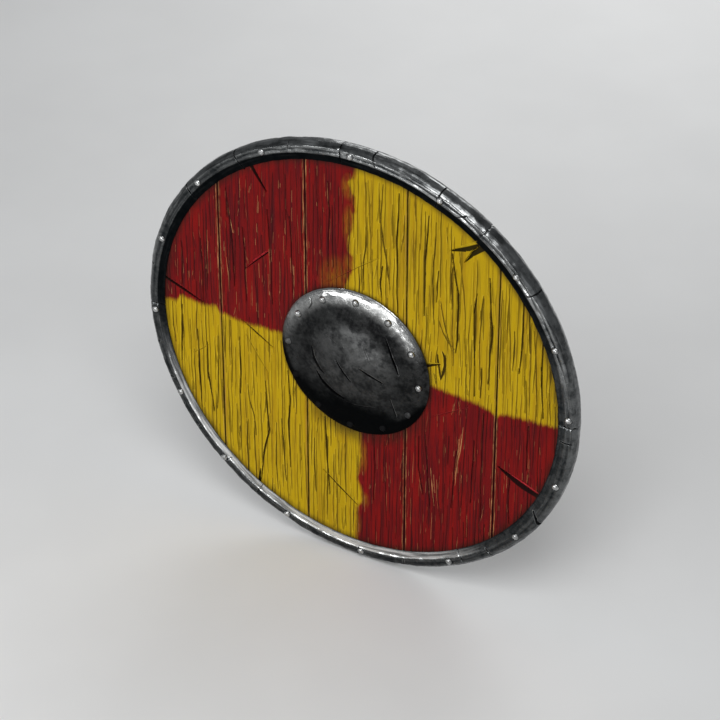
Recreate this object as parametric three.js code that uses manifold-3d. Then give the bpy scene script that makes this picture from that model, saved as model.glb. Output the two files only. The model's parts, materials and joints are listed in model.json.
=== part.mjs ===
// A round wooden shield: five planks in a bent iron rim, an iron boss over the hand hole,
// and a handle and two battens across the back. All sizes are in millimetres.
//
// The pieces are drawn lying flat, face up: +x to the right, +y along the planks, +z out of the
// painted face, and z = 0 on that face. The last group stands the shield up, planks along +Z and
// face towards -Y, with its origin in the middle of the grip.

import * as THREE from 'three';
import { mergeVertices } from 'three/addons/utils/BufferGeometryUtils.js';
import Module from 'manifold-3d';

const wasm = await Module();
wasm.setup();

// Driving sizes of the shield and its boards
const shieldRadius = 380;
const boardThickness = 18;
const seamGap = 0.4;
const boardEdgeChamfer = 3;
const fitGap = 0.3;
const overrun = 10;

// Where the seams between the planks lie, as shares of the shield's radius
const innerSeamShare = 0.2325;
const outerSeamShare = 0.6435;

// The widest cracks in the boards' face, each as the [x, y] places that it runs through, as
// shares of the shield's radius
const crackWidth = 3;
const crackDepth = 2.6;
const crackShares = [
  [[0.327, 0.8], [0.312, 0.55], [0.313, 0.33]],
  [[0.43, 0.66], [0.463, 0.48], [0.463, 0.27], [0.455, 0.2]],
  [[0.597, 0.6], [0.615, 0.35], [0.603, 0.1]],
  [[0.545, 0.51], [0.535, 0.42], [0.545, 0.02]],
  [[0.84, 0.43], [0.835, 0.25], [0.85, 0.02]],
  [[0.745, 0.55], [0.75, 0.4], [0.74, 0.2]],
  [[0.195, 0.86], [0.187, 0.65], [0.19, 0.3]],
  [[0.123, 0.5], [0.113, 0.42], [0.118, 0.34]],
  [[-0.838, 0], [-0.845, -0.15], [-0.85, -0.29]],
  [[-0.765, -0.1], [-0.762, -0.35], [-0.757, -0.5]],
  [[-0.72, -0.15], [-0.72, -0.3], [-0.695, -0.5]],
  [[-0.558, -0.07], [-0.555, -0.2], [-0.56, -0.36]],
  [[-0.437, -0.25], [-0.422, -0.5], [-0.445, -0.6], [-0.47, -0.79]],
  [[-0.325, -0.16], [-0.315, -0.3], [-0.325, -0.42], [-0.32, -0.66]],
  [[-0.147, -0.33], [-0.143, -0.45], [-0.127, -0.73]],
  [[-0.605, 0.64], [-0.588, 0.5], [-0.578, 0.36], [-0.575, 0.18]],
  [[-0.528, 0.48], [-0.522, 0.33], [-0.52, 0.12]],
  [[-0.41, 0.6], [-0.4, 0.45], [-0.393, 0.15]],
  [[-0.305, 0.6], [-0.298, 0.45], [-0.295, 0.24]],
  [[-0.83, 0.32], [-0.826, 0.22], [-0.835, 0.1]],
  [[-0.735, 0.36], [-0.728, 0.2], [-0.73, 0.03]],
  [[-0.125, 0.82], [-0.12, 0.68], [-0.128, 0.42]],
  [[0.298, -0.27], [0.295, -0.42], [0.32, -0.56]],
  [[0.326, -0.25], [0.337, -0.42], [0.352, -0.62]],
  [[0.47, -0.28], [0.458, -0.45], [0.453, -0.58]],
  [[0.55, -0.2], [0.545, -0.35], [0.54, -0.52]],
  [[0.588, -0.05], [0.585, -0.25], [0.588, -0.58]],
  [[0.79, -0.04], [0.785, -0.14], [0.79, -0.26]],
  [[0.715, -0.32], [0.711, -0.42], [0.718, -0.56]],
  [[0.087, -0.36], [0.09, -0.5], [0.086, -0.68]],
];

// The deepest blade cuts in the boards' face, in the same way
const cutWidth = 7;
const cutDepth = 4.5;
const cutShares = [
  [[0.425, 0.672], [0.545, 0.737], [0.6, 0.767]],
  [[0.66, -0.288], [0.76, -0.335], [0.84, -0.368], [0.9, -0.394]],
  [[-0.96, 0.13], [-0.9, 0.108], [-0.735, 0.046]],
  [[-0.52, 0.86], [-0.47, 0.777], [-0.412, 0.684]],
];

// Rim: a bent strip of sheet iron, closed round the edge of the boards
const rimSheet = 1.6;
const rimLipWidth = 30.4;
const rimCrestWidth = 10.5;
const rimFrontCrest = 4.3;
const rimBackCrest = 8;
const rimShoulderWidth = 7;
const rimFrontShoulder = 10.8;
const rimBackShoulder = 6;
const rimEdgeRoom = 2;
const rimJointGap = 0.8;
const rimJointAngles = [1.2, 54.5, 94, 181.7, 240.3, 302];
const rimRivetAngles = [3.4, 22.3, 42.2, 67, 91.2, 116, 139, 161.4,
  183.5, 207.6, 228.1, 249.8, 271.8, 297.9, 321.4, 342.9];

// Boss: a dished iron plate over the hand hole
const bossRadius = 131;
const bossSheet = 1.8;
const bossHeight = 25.3;
const bossRivetMargin = 15.7;
const bossRivetCount = 12;
const bossRivetTurn = -2.4;
const handHoleRadius = 58;

// The boss's outer face, from its edge to its middle: share of the radius, share of the height
const bossProfileShares = [[1, 0.083], [0.94, 0.17], [0.88, 0.25], [0.815, 0.335], [0.75, 0.405],
  [0.67, 0.475], [0.585, 0.54], [0.5, 0.605], [0.455, 0.68], [0.38, 0.785], [0.26, 0.895],
  [0.13, 0.97], [0, 1]];

// Rivets and roves
const rivetHeadRadius = 5.6;
const rivetHeadHeight = 3.4;
const shankRadius = 2;
const clenchRadius = 3.4;
const clenchHeight = 1.6;
const roveWidth = 14;
const roveThickness = 1.4;

// Battens across the back, clear of the boss and of the rim
const battenHeight = 34;
const battenThickness = 14;
const battenBossRoom = 2;
const battenEndRoom = 15;
const battenEdge = 3;

// Handle: a batten with a waisted grip over the hand hole
const handleHeight = 38;
const handleEndHeight = 26;
const handleEndRoom = 37.6;
const gripHeight = 24;
const gripThickness = 17;
const gripEndRoom = 6;
const gripRunOut = 10;
const gripRise = 8;
const wrapThickness = 2;

// Nails
const nailHeadRadius = 4.6;
const nailHeadThickness = 1.2;
const nailShankRadius = 1.5;
const nailSink = 0.3;

// Where nails go in the planks beside the middle one, as shares of their width
const battenNailShares = [0.25, 0.75];
const handleNailShares = [0.5, 0.8];

// How finely the round shapes are divided, in steps and in degrees
const discSteps = 96;
const bossSteps = 48;
const rivetSteps = 8;
const nailSteps = 8;
const rimStepAngle = 6;
const rimLeastStep = 1;
const rimShoulderAngles = [0, 30, 60, 90];
const domeAngles = [0, 45];
const quarterTurn = 90;
const cornerAngles = [0, 45, 90];

// Places worked out from the sizes above
const innerSeam = innerSeamShare * shieldRadius;
const outerSeam = outerSeamShare * shieldRadius;
const boardRadius = shieldRadius - rimSheet - rimEdgeRoom;
const boardBack = -boardThickness;
const rimFoot = shieldRadius - rimLipWidth;
const bossRivetRadius = bossRadius - bossRivetMargin;
const rimRivetRadius = shieldRadius - rimShoulderWidth - rimCrestWidth / 2;
const battenFront = boardBack - fitGap;
const battenBack = battenFront - battenThickness;
const gripBack = battenBack + wrapThickness + 2 * fitGap;
const gripMiddle = gripBack + gripThickness / 2;
const gripHalfLength = handHoleRadius - gripRunOut - gripEndRoom;
const handleWaist = gripHalfLength + gripRunOut;
const handleHalfLength = rimFoot - handleEndRoom;
const battenOffset = bossRadius + battenBossRoom + battenHeight / 2;
const battenReach = battenOffset + battenHeight / 2;
const battenHalfLength = Math.sqrt(rimFoot ** 2 - battenReach ** 2) - battenEndRoom;

// Colours, as the finish of each kind of piece
const redPaint = { color: 0x6d1012, roughness: 0.75, metalness: 0 };
const yellowPaint = { color: 0x9c7a0c, roughness: 0.75, metalness: 0 };
const bareWood = { color: 0x8a6a45, roughness: 0.85, metalness: 0 };
const rimIron = { color: 0x6f7476, roughness: 0.4, metalness: 1 };
const bossIron = { color: 0x4d5052, roughness: 0.45, metalness: 1 };
const rivetIron = { color: 0x8b8e8f, roughness: 0.4, metalness: 1 };
const leather = { color: 0x4a2f1c, roughness: 0.7, metalness: 0 };

// Solids

function solidOf(geometry) {
  const bare = geometry.clone();
  for (const name of Object.keys(bare.attributes)) {
    if (name !== 'position') bare.deleteAttribute(name);
  }
  const merged = mergeVertices(bare);
  const vertProperties = new Float32Array(merged.attributes.position.array);
  const triVerts = new Uint32Array(merged.index.array);
  return new wasm.Manifold(new wasm.Mesh({ numProp: 3, vertProperties, triVerts }));
}

function geometryOf(solid) {
  const mesh = solid.getMesh();
  const geometry = new THREE.BufferGeometry();
  geometry.setAttribute('position', new THREE.BufferAttribute(mesh.vertProperties, mesh.numProp));
  geometry.setIndex(new THREE.BufferAttribute(mesh.triVerts, 1));
  return geometry;
}

function unite(solids) {
  return solids.reduce((whole, next) => whole.add(next));
}

function cutAll(solid, cutters) {
  return cutters.reduce((rest, cutter) => rest.subtract(cutter), solid);
}

// A turned solid about z, from a closed profile of [radius, z] points that runs up the outside
function turned(profile, steps) {
  const points = profile.map(([radius, z]) => new THREE.Vector2(radius, z));
  const geometry = new THREE.LatheGeometry(points, steps);
  geometry.rotateX(Math.PI / 2);
  return geometry;
}

function rod(radius, zLow, zHigh, steps) {
  return turned([[0, zLow], [radius, zLow], [radius, zHigh], [0, zHigh]], steps);
}

// A solid through a row of closed sections, each a list of as many points in turn. The outline
// is one section drawn flat, and shows how the two ends are closed.
function loft(sections, outline) {
  const count = sections[0].length;
  const positions = sections.flat().flatMap((point) => [point.x, point.y, point.z]);
  const index = [];
  for (let s = 0; s < sections.length - 1; s += 1) {
    for (let i = 0; i < count; i += 1) {
      const a = s * count + i;
      const b = s * count + (i + 1) % count;
      index.push(a, b, b + count, a, b + count, a + count);
    }
  }
  const last = (sections.length - 1) * count;
  const clockwise = THREE.ShapeUtils.isClockWise(outline);
  for (const [a, b, c] of THREE.ShapeUtils.triangulateShape(outline, [])) {
    const [second, third] = clockwise ? [c, b] : [b, c];
    index.push(a, third, second);
    index.push(last + a, last + second, last + third);
  }
  const geometry = new THREE.BufferGeometry();
  geometry.setAttribute('position', new THREE.Float32BufferAttribute(positions, 3));
  geometry.setIndex(index);
  return facedOut(geometry);
}

// The same geometry with its faces pointing out
function facedOut(geometry) {
  const place = geometry.attributes.position;
  const index = geometry.index.array;
  const corner = [new THREE.Vector3(), new THREE.Vector3(), new THREE.Vector3()];
  let volume = 0;
  for (let i = 0; i < index.length; i += 3) {
    corner.forEach((point, k) => point.fromBufferAttribute(place, index[i + k]));
    volume += corner[0].dot(corner[1].clone().cross(corner[2]));
  }
  if (volume < 0) {
    for (let i = 0; i < index.length; i += 3) {
      [index[i + 1], index[i + 2]] = [index[i + 2], index[i + 1]];
    }
  }
  return geometry;
}

// The closed outline of a bent sheet: its outer face, then its inner face a thickness away
function sheetOutline(outer, thickness) {
  const inner = outer.map((point, i) => {
    const before = outer[Math.max(i - 1, 0)];
    const after = outer[Math.min(i + 1, outer.length - 1)];
    const into = point.clone().sub(before).normalize();
    const away = after.clone().sub(point).normalize();
    const run = into.add(away).normalize();
    const normal = new THREE.Vector2(run.y, -run.x);
    return point.clone().addScaledVector(normal, thickness);
  });
  return [...outer, ...inner.reverse()];
}

function polar(radius, degrees) {
  const angle = THREE.MathUtils.degToRad(degrees);
  return [radius * Math.cos(angle), radius * Math.sin(angle)];
}

function rivetPlaces(radius, angles) {
  return angles.map((degrees) => ({ degrees, place: polar(radius, degrees) }));
}

const rimRivets = rivetPlaces(rimRivetRadius, rimRivetAngles);
const bossRivetAngles = Array.from({ length: bossRivetCount },
  (_, i) => bossRivetTurn + i * 360 / bossRivetCount);
const bossRivets = rivetPlaces(bossRivetRadius, bossRivetAngles);

// Whether a boss rivet passes through the handle, and not only through the boards
function throughHandle([, y]) {
  return Math.abs(y) < handleHeight / 2 - roveWidth / 2;
}

function drill([x, y], radius, steps, zLow = battenBack - overrun, zHigh = bossHeight + overrun) {
  return solidOf(rod(radius, zLow, zHigh, steps).translate(x, y, 0));
}

// Boards

function discSolid() {
  const corner = boardRadius - boardEdgeChamfer;
  const profile = [[0, boardBack], [corner, boardBack], [boardRadius, boardBack + boardEdgeChamfer],
    [boardRadius, -boardEdgeChamfer], [corner, 0], [0, 0]];
  return solidOf(turned(profile, discSteps));
}

function plankStrip(left, right) {
  const width = right - left - seamGap;
  const strip = new THREE.BoxGeometry(width, 2 * shieldRadius, 2 * boardThickness);
  strip.translate((left + right) / 2, 0, boardBack / 2);
  return solidOf(strip);
}

function boardHoles() {
  const holeRadius = shankRadius + fitGap;
  const rivets = [...rimRivets, ...bossRivets].map(({ place }) => drill(place, holeRadius, rivetSteps));
  return [...rivets, drill([0, 0], handHoleRadius, bossSteps)];
}

// A V-shaped groove in the boards' face through a row of places, run out to nothing at both ends
function faceGroove(shares, width, depth) {
  const places = shares.map(([x, y]) => new THREE.Vector3(x * shieldRadius, y * shieldRadius, 0));
  const run = places.at(-1).clone().sub(places[0]).normalize();
  const sideways = new THREE.Vector3(-run.y, run.x, 0);
  const sections = places.map((place, i) => {
    const deep = i > 0 && i < places.length - 1 ? depth : 0;
    const reach = width / 2 * (deep + overrun) / depth;
    const top = new THREE.Vector3(place.x, place.y, overrun);
    return [
      new THREE.Vector3(place.x, place.y, -deep),
      top.clone().addScaledVector(sideways, reach),
      top.clone().addScaledVector(sideways, -reach),
    ];
  });
  const outline = [[0, 0], [1, 1], [-1, 1]].map(([across, up]) => new THREE.Vector2(across, up));
  return solidOf(loft(sections, outline));
}

function faceGrooves() {
  const cracks = crackShares.map((shares) => faceGroove(shares, crackWidth, crackDepth));
  const cuts = cutShares.map((shares) => faceGroove(shares, cutWidth, cutDepth));
  return [...cracks, ...cuts];
}

function buildPlanks() {
  const disc = cutAll(discSolid(), [...boardHoles(), ...faceGrooves()]);
  const edges = [-shieldRadius, -outerSeam, -innerSeam, innerSeam, outerSeam, shieldRadius];
  const names = ['left_outer_plank', 'left_plank', 'centre_plank', 'right_plank', 'right_outer_plank'];
  const paints = [redPaint, redPaint, yellowPaint, yellowPaint, yellowPaint];
  return names.map((name, i) => {
    const plank = disc.intersect(plankStrip(edges[i], edges[i + 1]));
    return piece(name, geometryOf(plank), paints[i]);
  });
}

// Rim

// A quarter round of the rim's shoulder, from the crest to the outer wall
function shoulder(middle, height) {
  return rimShoulderAngles.map((degrees) => {
    const angle = THREE.MathUtils.degToRad(degrees);
    const radius = shieldRadius - rimShoulderWidth + rimShoulderWidth * Math.sin(angle);
    return new THREE.Vector2(radius, middle + height * Math.cos(angle));
  });
}

function rimOutline() {
  const crest = shieldRadius - rimShoulderWidth - rimCrestWidth;
  const footHeight = fitGap + rimSheet;
  const front = shoulder(rimFrontCrest - rimFrontShoulder, rimFrontShoulder);
  const back = shoulder(boardBack - rimBackCrest + rimBackShoulder, -rimBackShoulder).reverse();
  const outer = [
    new THREE.Vector2(rimFoot, footHeight),
    new THREE.Vector2(crest, rimFrontCrest),
    ...front,
    ...back,
    new THREE.Vector2(crest, boardBack - rimBackCrest),
    new THREE.Vector2(rimFoot, boardBack - footHeight),
  ];
  return sheetOutline(outer, rimSheet);
}

// The angles of a length's sections: its two ends, and every whole step between them
function rimAngles(start, end) {
  const first = Math.ceil((start + rimLeastStep) / rimStepAngle) * rimStepAngle;
  const steps = [start];
  for (let angle = first; angle < end - rimLeastStep; angle += rimStepAngle) steps.push(angle);
  return [...steps, end];
}

function rimSection(outline, degrees) {
  return outline.map((point) => {
    const [x, y] = polar(point.x, degrees);
    return new THREE.Vector3(x, y, point.y);
  });
}

function buildRim() {
  const outline = rimOutline();
  const halfGap = THREE.MathUtils.radToDeg(rimJointGap / 2 / shieldRadius);
  const holes = rimRivets.map(({ place }) => drill(place, shankRadius + fitGap, rivetSteps));
  return rimJointAngles.map((joint, i) => {
    const start = joint + halfGap;
    const next = i + 1 < rimJointAngles.length ? rimJointAngles[i + 1] : rimJointAngles[0] + 360;
    const sections = rimAngles(start, next - halfGap).map((angle) => rimSection(outline, angle));
    const segment = cutAll(solidOf(loft(sections, outline)), holes);
    return piece(`rim_segment_${i + 1}`, geometryOf(segment), rimIron);
  });
}

// Boss

function bossOuterFace() {
  return bossProfileShares.map(([radiusShare, heightShare]) => new THREE.Vector2(
    radiusShare * bossRadius, heightShare * bossHeight));
}

function buildBoss() {
  const outer = bossOuterFace();
  const inner = outer.map((point) => new THREE.Vector2(point.x, point.y - bossSheet)).reverse();
  const profile = [...inner, ...outer].map((point) => [point.x, point.y]);
  const plate = solidOf(turned(profile, bossSteps));
  const holes = bossRivets.map(({ place }) => drill(place, shankRadius + fitGap, rivetSteps));
  return piece('boss', geometryOf(cutAll(plate, holes)), bossIron);
}

// Height and slope of the boss's outer face at a radius
function bossFaceAt(radius) {
  const face = bossOuterFace();
  const i = face.findIndex((point) => point.x < radius);
  const [outer, inner] = [face[i - 1], face[i]];
  const slope = (inner.y - outer.y) / (outer.x - inner.x);
  return { height: outer.y + slope * (outer.x - radius), tilt: Math.atan(slope) };
}

// Rivets

function domeProfile(radius, height) {
  const rings = domeAngles.map((degrees) => {
    const angle = THREE.MathUtils.degToRad(degrees);
    return [radius * Math.cos(angle), height * Math.sin(angle)];
  });
  return [[0, 0], ...rings, [0, height]];
}

// One rivet about z: a domed head that sits at seat and leans out, a shank, and a clenched end
function rivet(seat, tilt, clenchTop) {
  const head = turned(domeProfile(rivetHeadRadius, rivetHeadHeight), rivetSteps);
  head.rotateY(tilt);
  head.translate(0, 0, seat);
  const clench = turned(domeProfile(clenchRadius, clenchHeight), rivetSteps);
  clench.rotateX(Math.PI);
  clench.translate(0, 0, clenchTop);
  const shankTop = seat + rivetHeadHeight / 2;
  const shank = rod(shankRadius, clenchTop - clenchHeight / 2, shankTop, rivetSteps);
  return unite([solidOf(head), solidOf(shank), solidOf(clench)]);
}

function placed(solid, degrees, [x, y], z = 0) {
  return solid.rotate([0, 0, degrees]).translate([x, y, z]);
}

function buildRimRivets() {
  const one = rivet(rimFrontCrest + fitGap, 0, boardBack - rimBackCrest - fitGap);
  return rimRivets.map(({ degrees, place }, i) => (
    piece(`rim_rivet_${i + 1}`, geometryOf(placed(one, degrees, place)), rivetIron)));
}

// How far behind the boards' face a boss rivet's rove lies
function roveTop(place) {
  return throughHandle(place) ? battenBack + roveSink() : boardBack - fitGap;
}

// Depth of the pocket in the handle that takes a rove and the clenched end on it
function roveSink() {
  return roveThickness + clenchHeight + 3 * fitGap;
}

function buildBossRivets() {
  const face = bossFaceAt(bossRivetRadius);
  const seat = face.height + fitGap / Math.cos(face.tilt);
  return bossRivets.map(({ degrees, place }, i) => {
    const one = rivet(seat, face.tilt, roveTop(place) - roveThickness - fitGap);
    return piece(`boss_rivet_${i + 1}`, geometryOf(placed(one, degrees, place)), rivetIron);
  });
}

function buildRoves() {
  const plate = solidOf(new THREE.BoxGeometry(roveWidth, roveWidth, roveThickness));
  const rove = plate.subtract(solidOf(rod(shankRadius + fitGap, -roveThickness, roveThickness, rivetSteps)));
  return bossRivets.map(({ degrees, place }, i) => {
    const one = placed(rove, degrees, place, roveTop(place) - roveThickness / 2);
    return piece(`boss_rove_${i + 1}`, geometryOf(one), rivetIron);
  });
}

// Battens and handle

// A section across a batten at x: a rectangle with rounded edges, as three points for each corner
function battenSection(x, halfHeight, zBack, zFront, edge) {
  const halfDepth = (zFront - zBack) / 2;
  const radius = Math.min(edge, halfHeight, halfDepth);
  const middle = zBack + halfDepth;
  const corners = [[1, 1], [-1, 1], [-1, -1], [1, -1]];
  return corners.flatMap(([upwards, outwards], i) => cornerAngles.map((angle) => {
    const [up, out] = polar(radius, i * quarterTurn + angle);
    const y = upwards * (halfHeight - radius) + up;
    const z = middle + outwards * (halfDepth - radius) + out;
    return new THREE.Vector3(x, y, z);
  }));
}

function barThrough(sections) {
  return loft(sections, sections[0].map((point) => new THREE.Vector2(point.y, point.z)));
}

function mirroredAlong(stations) {
  const left = stations.map((station) => ({ ...station, x: -station.x })).reverse();
  return [...left, ...stations];
}

// Where a batten's nails go: into the planks beside the middle one by shares, and the outer ones
function nailXs(shares, halfLength) {
  const beside = shares.map((share) => innerSeam + share * (outerSeam - innerSeam));
  return [...beside, (outerSeam + halfLength) / 2];
}

function bothSides(xs, y) {
  return xs.flatMap((x) => [[-x, y], [x, y]]);
}

// The hole that a nail needs in a batten: its shank, and a pocket for its head
function nailPocket(place) {
  const pocketTop = battenBack + nailSink + nailHeadThickness + fitGap;
  const pocket = drill(place, nailHeadRadius + fitGap, nailSteps, battenBack - overrun, pocketTop);
  return pocket.add(drill(place, nailShankRadius + fitGap, nailSteps));
}

function rovePocket({ degrees, place }) {
  const width = roveWidth + 2 * fitGap;
  const depth = roveSink() + fitGap;
  const box = new THREE.BoxGeometry(width, width, depth + overrun);
  const pocket = placed(solidOf(box), degrees, place, battenBack + (depth - overrun) / 2);
  return pocket.add(drill(place, shankRadius + fitGap, rivetSteps));
}

function buildBatten(name, y) {
  const half = battenHeight / 2;
  const ends = mirroredAlong([
    { x: battenHalfLength - battenEdge, halfHeight: half },
    { x: battenHalfLength, halfHeight: half - battenEdge },
  ]);
  const sections = ends.map(({ x, halfHeight }) => (
    battenSection(x, halfHeight, battenBack, battenFront, battenEdge).map((point) => (
      point.add(new THREE.Vector3(0, y, 0))))));
  const bar = solidOf(barThrough(sections));
  const xs = [innerSeam / 2, ...nailXs(battenNailShares, battenHalfLength)];
  const pockets = bothSides(xs, y).map((place) => nailPocket(place));
  return piece(name, geometryOf(cutAll(bar, pockets)), bareWood);
}

function gripSection(x, grow) {
  const half = gripHeight / 2 + grow;
  const front = gripMiddle + gripThickness / 2 + grow;
  return battenSection(x, half, gripBack - grow, front, half);
}

function buildHandle() {
  const arm = (x, halfHeight) => battenSection(x, halfHeight, battenBack, battenFront, battenEdge);
  const right = [
    gripSection(gripHalfLength, 0),
    arm(handleWaist, gripHeight / 2 + battenEdge),
    arm(handleWaist + gripRise, handleHeight / 2),
    arm(handleHalfLength - battenEdge, handleEndHeight / 2),
    arm(handleHalfLength, handleEndHeight / 2 - battenEdge),
  ];
  const left = right.map((section) => section.map((point) => (
    new THREE.Vector3(-point.x, point.y, point.z)))).reverse();
  const bar = solidOf(barThrough([...left, ...right]));
  const xs = nailXs(handleNailShares, handleHalfLength);
  const nails = bothSides(xs, 0).map((place) => nailPocket(place));
  const roves = bossRivets.filter(({ place }) => throughHandle(place)).map((one) => rovePocket(one));
  return piece('handle_batten', geometryOf(cutAll(bar, [...nails, ...roves])), bareWood);
}

function buildWrap() {
  const sleeve = (grow, half) => solidOf(barThrough([gripSection(-half, grow), gripSection(half, grow)]));
  const outside = sleeve(fitGap + wrapThickness, gripHalfLength - fitGap);
  const bore = sleeve(fitGap, gripHalfLength + overrun);
  return piece('grip_wrap', geometryOf(outside.subtract(bore)), leather);
}

// Assembly

function piece(name, geometry, finish) {
  geometry.computeVertexNormals();
  const mesh = new THREE.Mesh(geometry, new THREE.MeshStandardMaterial(finish));
  mesh.name = name;
  return mesh;
}

const laidFlat = new THREE.Group();
laidFlat.add(
  ...buildPlanks(),
  ...buildRim(),
  ...buildRimRivets(),
  buildBoss(),
  ...buildBossRivets(),
  ...buildRoves(),
  buildBatten('upper_batten', battenOffset),
  buildBatten('lower_batten', -battenOffset),
  buildHandle(),
  buildWrap(),
);
laidFlat.rotation.x = Math.PI / 2;
laidFlat.position.y = gripMiddle;

const shield = new THREE.Group();
shield.add(laidFlat);

export default shield;
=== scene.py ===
# %% [markdown]
# A round wooden shield: five painted planks in a riveted iron rim, an iron boss over the hand
# hole, and battens, a handle and a wrapped grip on the back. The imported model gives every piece
# its place and size. This file dresses it: worn paint and cracked wood, hammered iron, leather.
# Lengths are in metres. The shield stands up: +X is its right, +Z its top, and its face looks
# towards -Y.

# %% Load the frame
import json
import math

import bmesh
import bpy
import numpy as np
from mathutils import Matrix, Vector

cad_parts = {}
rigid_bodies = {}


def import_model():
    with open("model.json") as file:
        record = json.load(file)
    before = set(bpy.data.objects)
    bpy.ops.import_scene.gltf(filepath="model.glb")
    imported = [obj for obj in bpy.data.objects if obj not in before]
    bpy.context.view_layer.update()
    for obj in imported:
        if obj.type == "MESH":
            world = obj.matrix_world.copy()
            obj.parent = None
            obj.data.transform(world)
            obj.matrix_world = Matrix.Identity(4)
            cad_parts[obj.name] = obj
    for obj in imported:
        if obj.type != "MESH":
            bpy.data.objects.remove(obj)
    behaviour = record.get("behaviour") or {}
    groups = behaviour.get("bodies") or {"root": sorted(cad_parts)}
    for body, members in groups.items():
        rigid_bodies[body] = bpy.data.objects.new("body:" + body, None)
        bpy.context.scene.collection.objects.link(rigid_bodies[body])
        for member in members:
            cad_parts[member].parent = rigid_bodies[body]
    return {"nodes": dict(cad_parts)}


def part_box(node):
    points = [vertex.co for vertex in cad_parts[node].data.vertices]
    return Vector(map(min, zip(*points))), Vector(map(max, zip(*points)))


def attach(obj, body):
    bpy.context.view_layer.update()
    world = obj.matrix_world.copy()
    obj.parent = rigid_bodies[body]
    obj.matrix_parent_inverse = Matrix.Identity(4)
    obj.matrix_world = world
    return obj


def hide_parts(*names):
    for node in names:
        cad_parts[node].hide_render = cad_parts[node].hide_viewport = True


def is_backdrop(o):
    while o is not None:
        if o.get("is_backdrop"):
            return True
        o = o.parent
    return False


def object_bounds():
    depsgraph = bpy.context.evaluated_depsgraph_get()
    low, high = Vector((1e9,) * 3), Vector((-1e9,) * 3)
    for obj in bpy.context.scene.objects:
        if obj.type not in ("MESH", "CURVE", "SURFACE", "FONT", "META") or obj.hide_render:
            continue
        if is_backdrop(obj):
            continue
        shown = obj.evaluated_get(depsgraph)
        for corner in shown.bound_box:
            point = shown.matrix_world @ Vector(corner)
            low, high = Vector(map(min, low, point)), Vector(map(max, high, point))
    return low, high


bpy.ops.object.select_all(action="SELECT")
bpy.ops.object.delete()
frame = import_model()
cad_low, cad_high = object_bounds()
print("pieces in the frame:", len(frame["nodes"]))

# %% [markdown]
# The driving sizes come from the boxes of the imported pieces, so that what is made here fits
# them. Everything seen on the front is placed as a share of the shield's outer radius.

# %% Sizes
millimetre = 0.001
board_low, board_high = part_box("centre_plank")
outer_radius = cad_high.x
face_y = board_low.y
back_y = board_high.y
plank_names = ["left_outer_plank", "left_plank", "centre_plank", "right_plank", "right_outer_plank"]
board_radius = -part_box("left_outer_plank")[0].x
boss_low, boss_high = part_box("boss")
boss_radius = boss_high.x
boss_height = face_y - boss_low.y
rim_low, rim_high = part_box("rim_segment_3")
rim_front_crest = face_y - rim_low.y
rim_back_crest = rim_high.y - back_y
print("outer radius", round(outer_radius, 4), "boards", round(board_radius, 4), "face at", round(face_y, 4))

# %% [markdown]
# Most steps below act on what is selected, as they do by hand. These helpers select one object
# or some of its points, apply its modifiers in turn, and leave it at the origin with its place
# in its mesh.

# %% Helpers for modelling
def begin(piece):
    bpy.ops.object.select_all(action="DESELECT")
    piece.select_set(True)
    bpy.context.view_layer.objects.active = piece


def begin_edit(piece, kind="VERT"):
    begin(piece)
    bpy.ops.object.mode_set(mode="EDIT")
    bpy.ops.mesh.select_mode(type=kind)
    bpy.ops.mesh.select_all(action="DESELECT")


def end_edit():
    bpy.ops.object.mode_set(mode="OBJECT")


def pick_points(piece, test):
    shape = bmesh.from_edit_mesh(piece.data)
    count = 0
    for point in shape.verts:
        chosen = bool(test(point.co))
        point.select_set(chosen)
        count += chosen
    shape.select_flush_mode()
    bmesh.update_edit_mesh(piece.data)
    return count


def apply_modifiers(piece):
    begin(piece)
    for modifier in list(piece.modifiers):
        bpy.ops.object.modifier_apply(modifier=modifier.name)


def settle(piece):
    begin(piece)
    bpy.ops.object.transform_apply(location=True, rotation=True, scale=True)


def face_outwards(piece, outward):
    """Makes the faces agree, and flips them all if they look inwards. outward measures one face."""
    begin_edit(piece)
    bpy.ops.mesh.select_all(action="SELECT")
    bpy.ops.mesh.normals_make_consistent(inside=False)
    end_edit()
    if sum(outward(face) for face in piece.data.polygons) < 0:
        begin_edit(piece)
        bpy.ops.mesh.select_all(action="SELECT")
        bpy.ops.mesh.flip_normals()
        end_edit()


def thicken(piece, thickness):
    wall = piece.modifiers.new("sheet", "SOLIDIFY")
    wall.thickness = thickness
    wall.offset = -1
    apply_modifiers(piece)


def smooth(piece, degrees):
    begin(piece)
    bpy.ops.object.shade_smooth_by_angle(angle=math.radians(degrees))


def select_faces(piece, test):
    shape = bmesh.from_edit_mesh(piece.data)
    for face in shape.faces:
        face.select_set(test(face))
    bmesh.update_edit_mesh(piece.data)


def named(name):
    piece = bpy.context.object
    piece.name = name
    piece.data.name = name
    return piece


def points_of(piece):
    places = np.empty(len(piece.data.vertices) * 3)
    piece.data.vertices.foreach_get("co", places)
    return places.reshape(-1, 3)


def middle_of(node):
    low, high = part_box(node)
    return (low + high) / 2


def keep_mask(piece, name, values):
    layer = piece.data.attributes.new(name, "FLOAT", "POINT")
    layer.data.foreach_set("value", values.astype(np.float32))


def sink_by(piece, weights, depth, direction="Y"):
    """Pushes points in by depth where their weight is 1: a Displace modifier with a painted group."""
    group = piece.vertex_groups.new(name="sink")
    for index in np.nonzero(weights > 0.001)[0]:
        group.add([int(index)], float(weights[index]), "REPLACE")
    sink = piece.modifiers.new("sink", "DISPLACE")
    sink.vertex_group = "sink"
    sink.direction = direction
    sink.mid_level = 0
    sink.strength = depth
    apply_modifiers(piece)
    piece.vertex_groups.clear()

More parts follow.
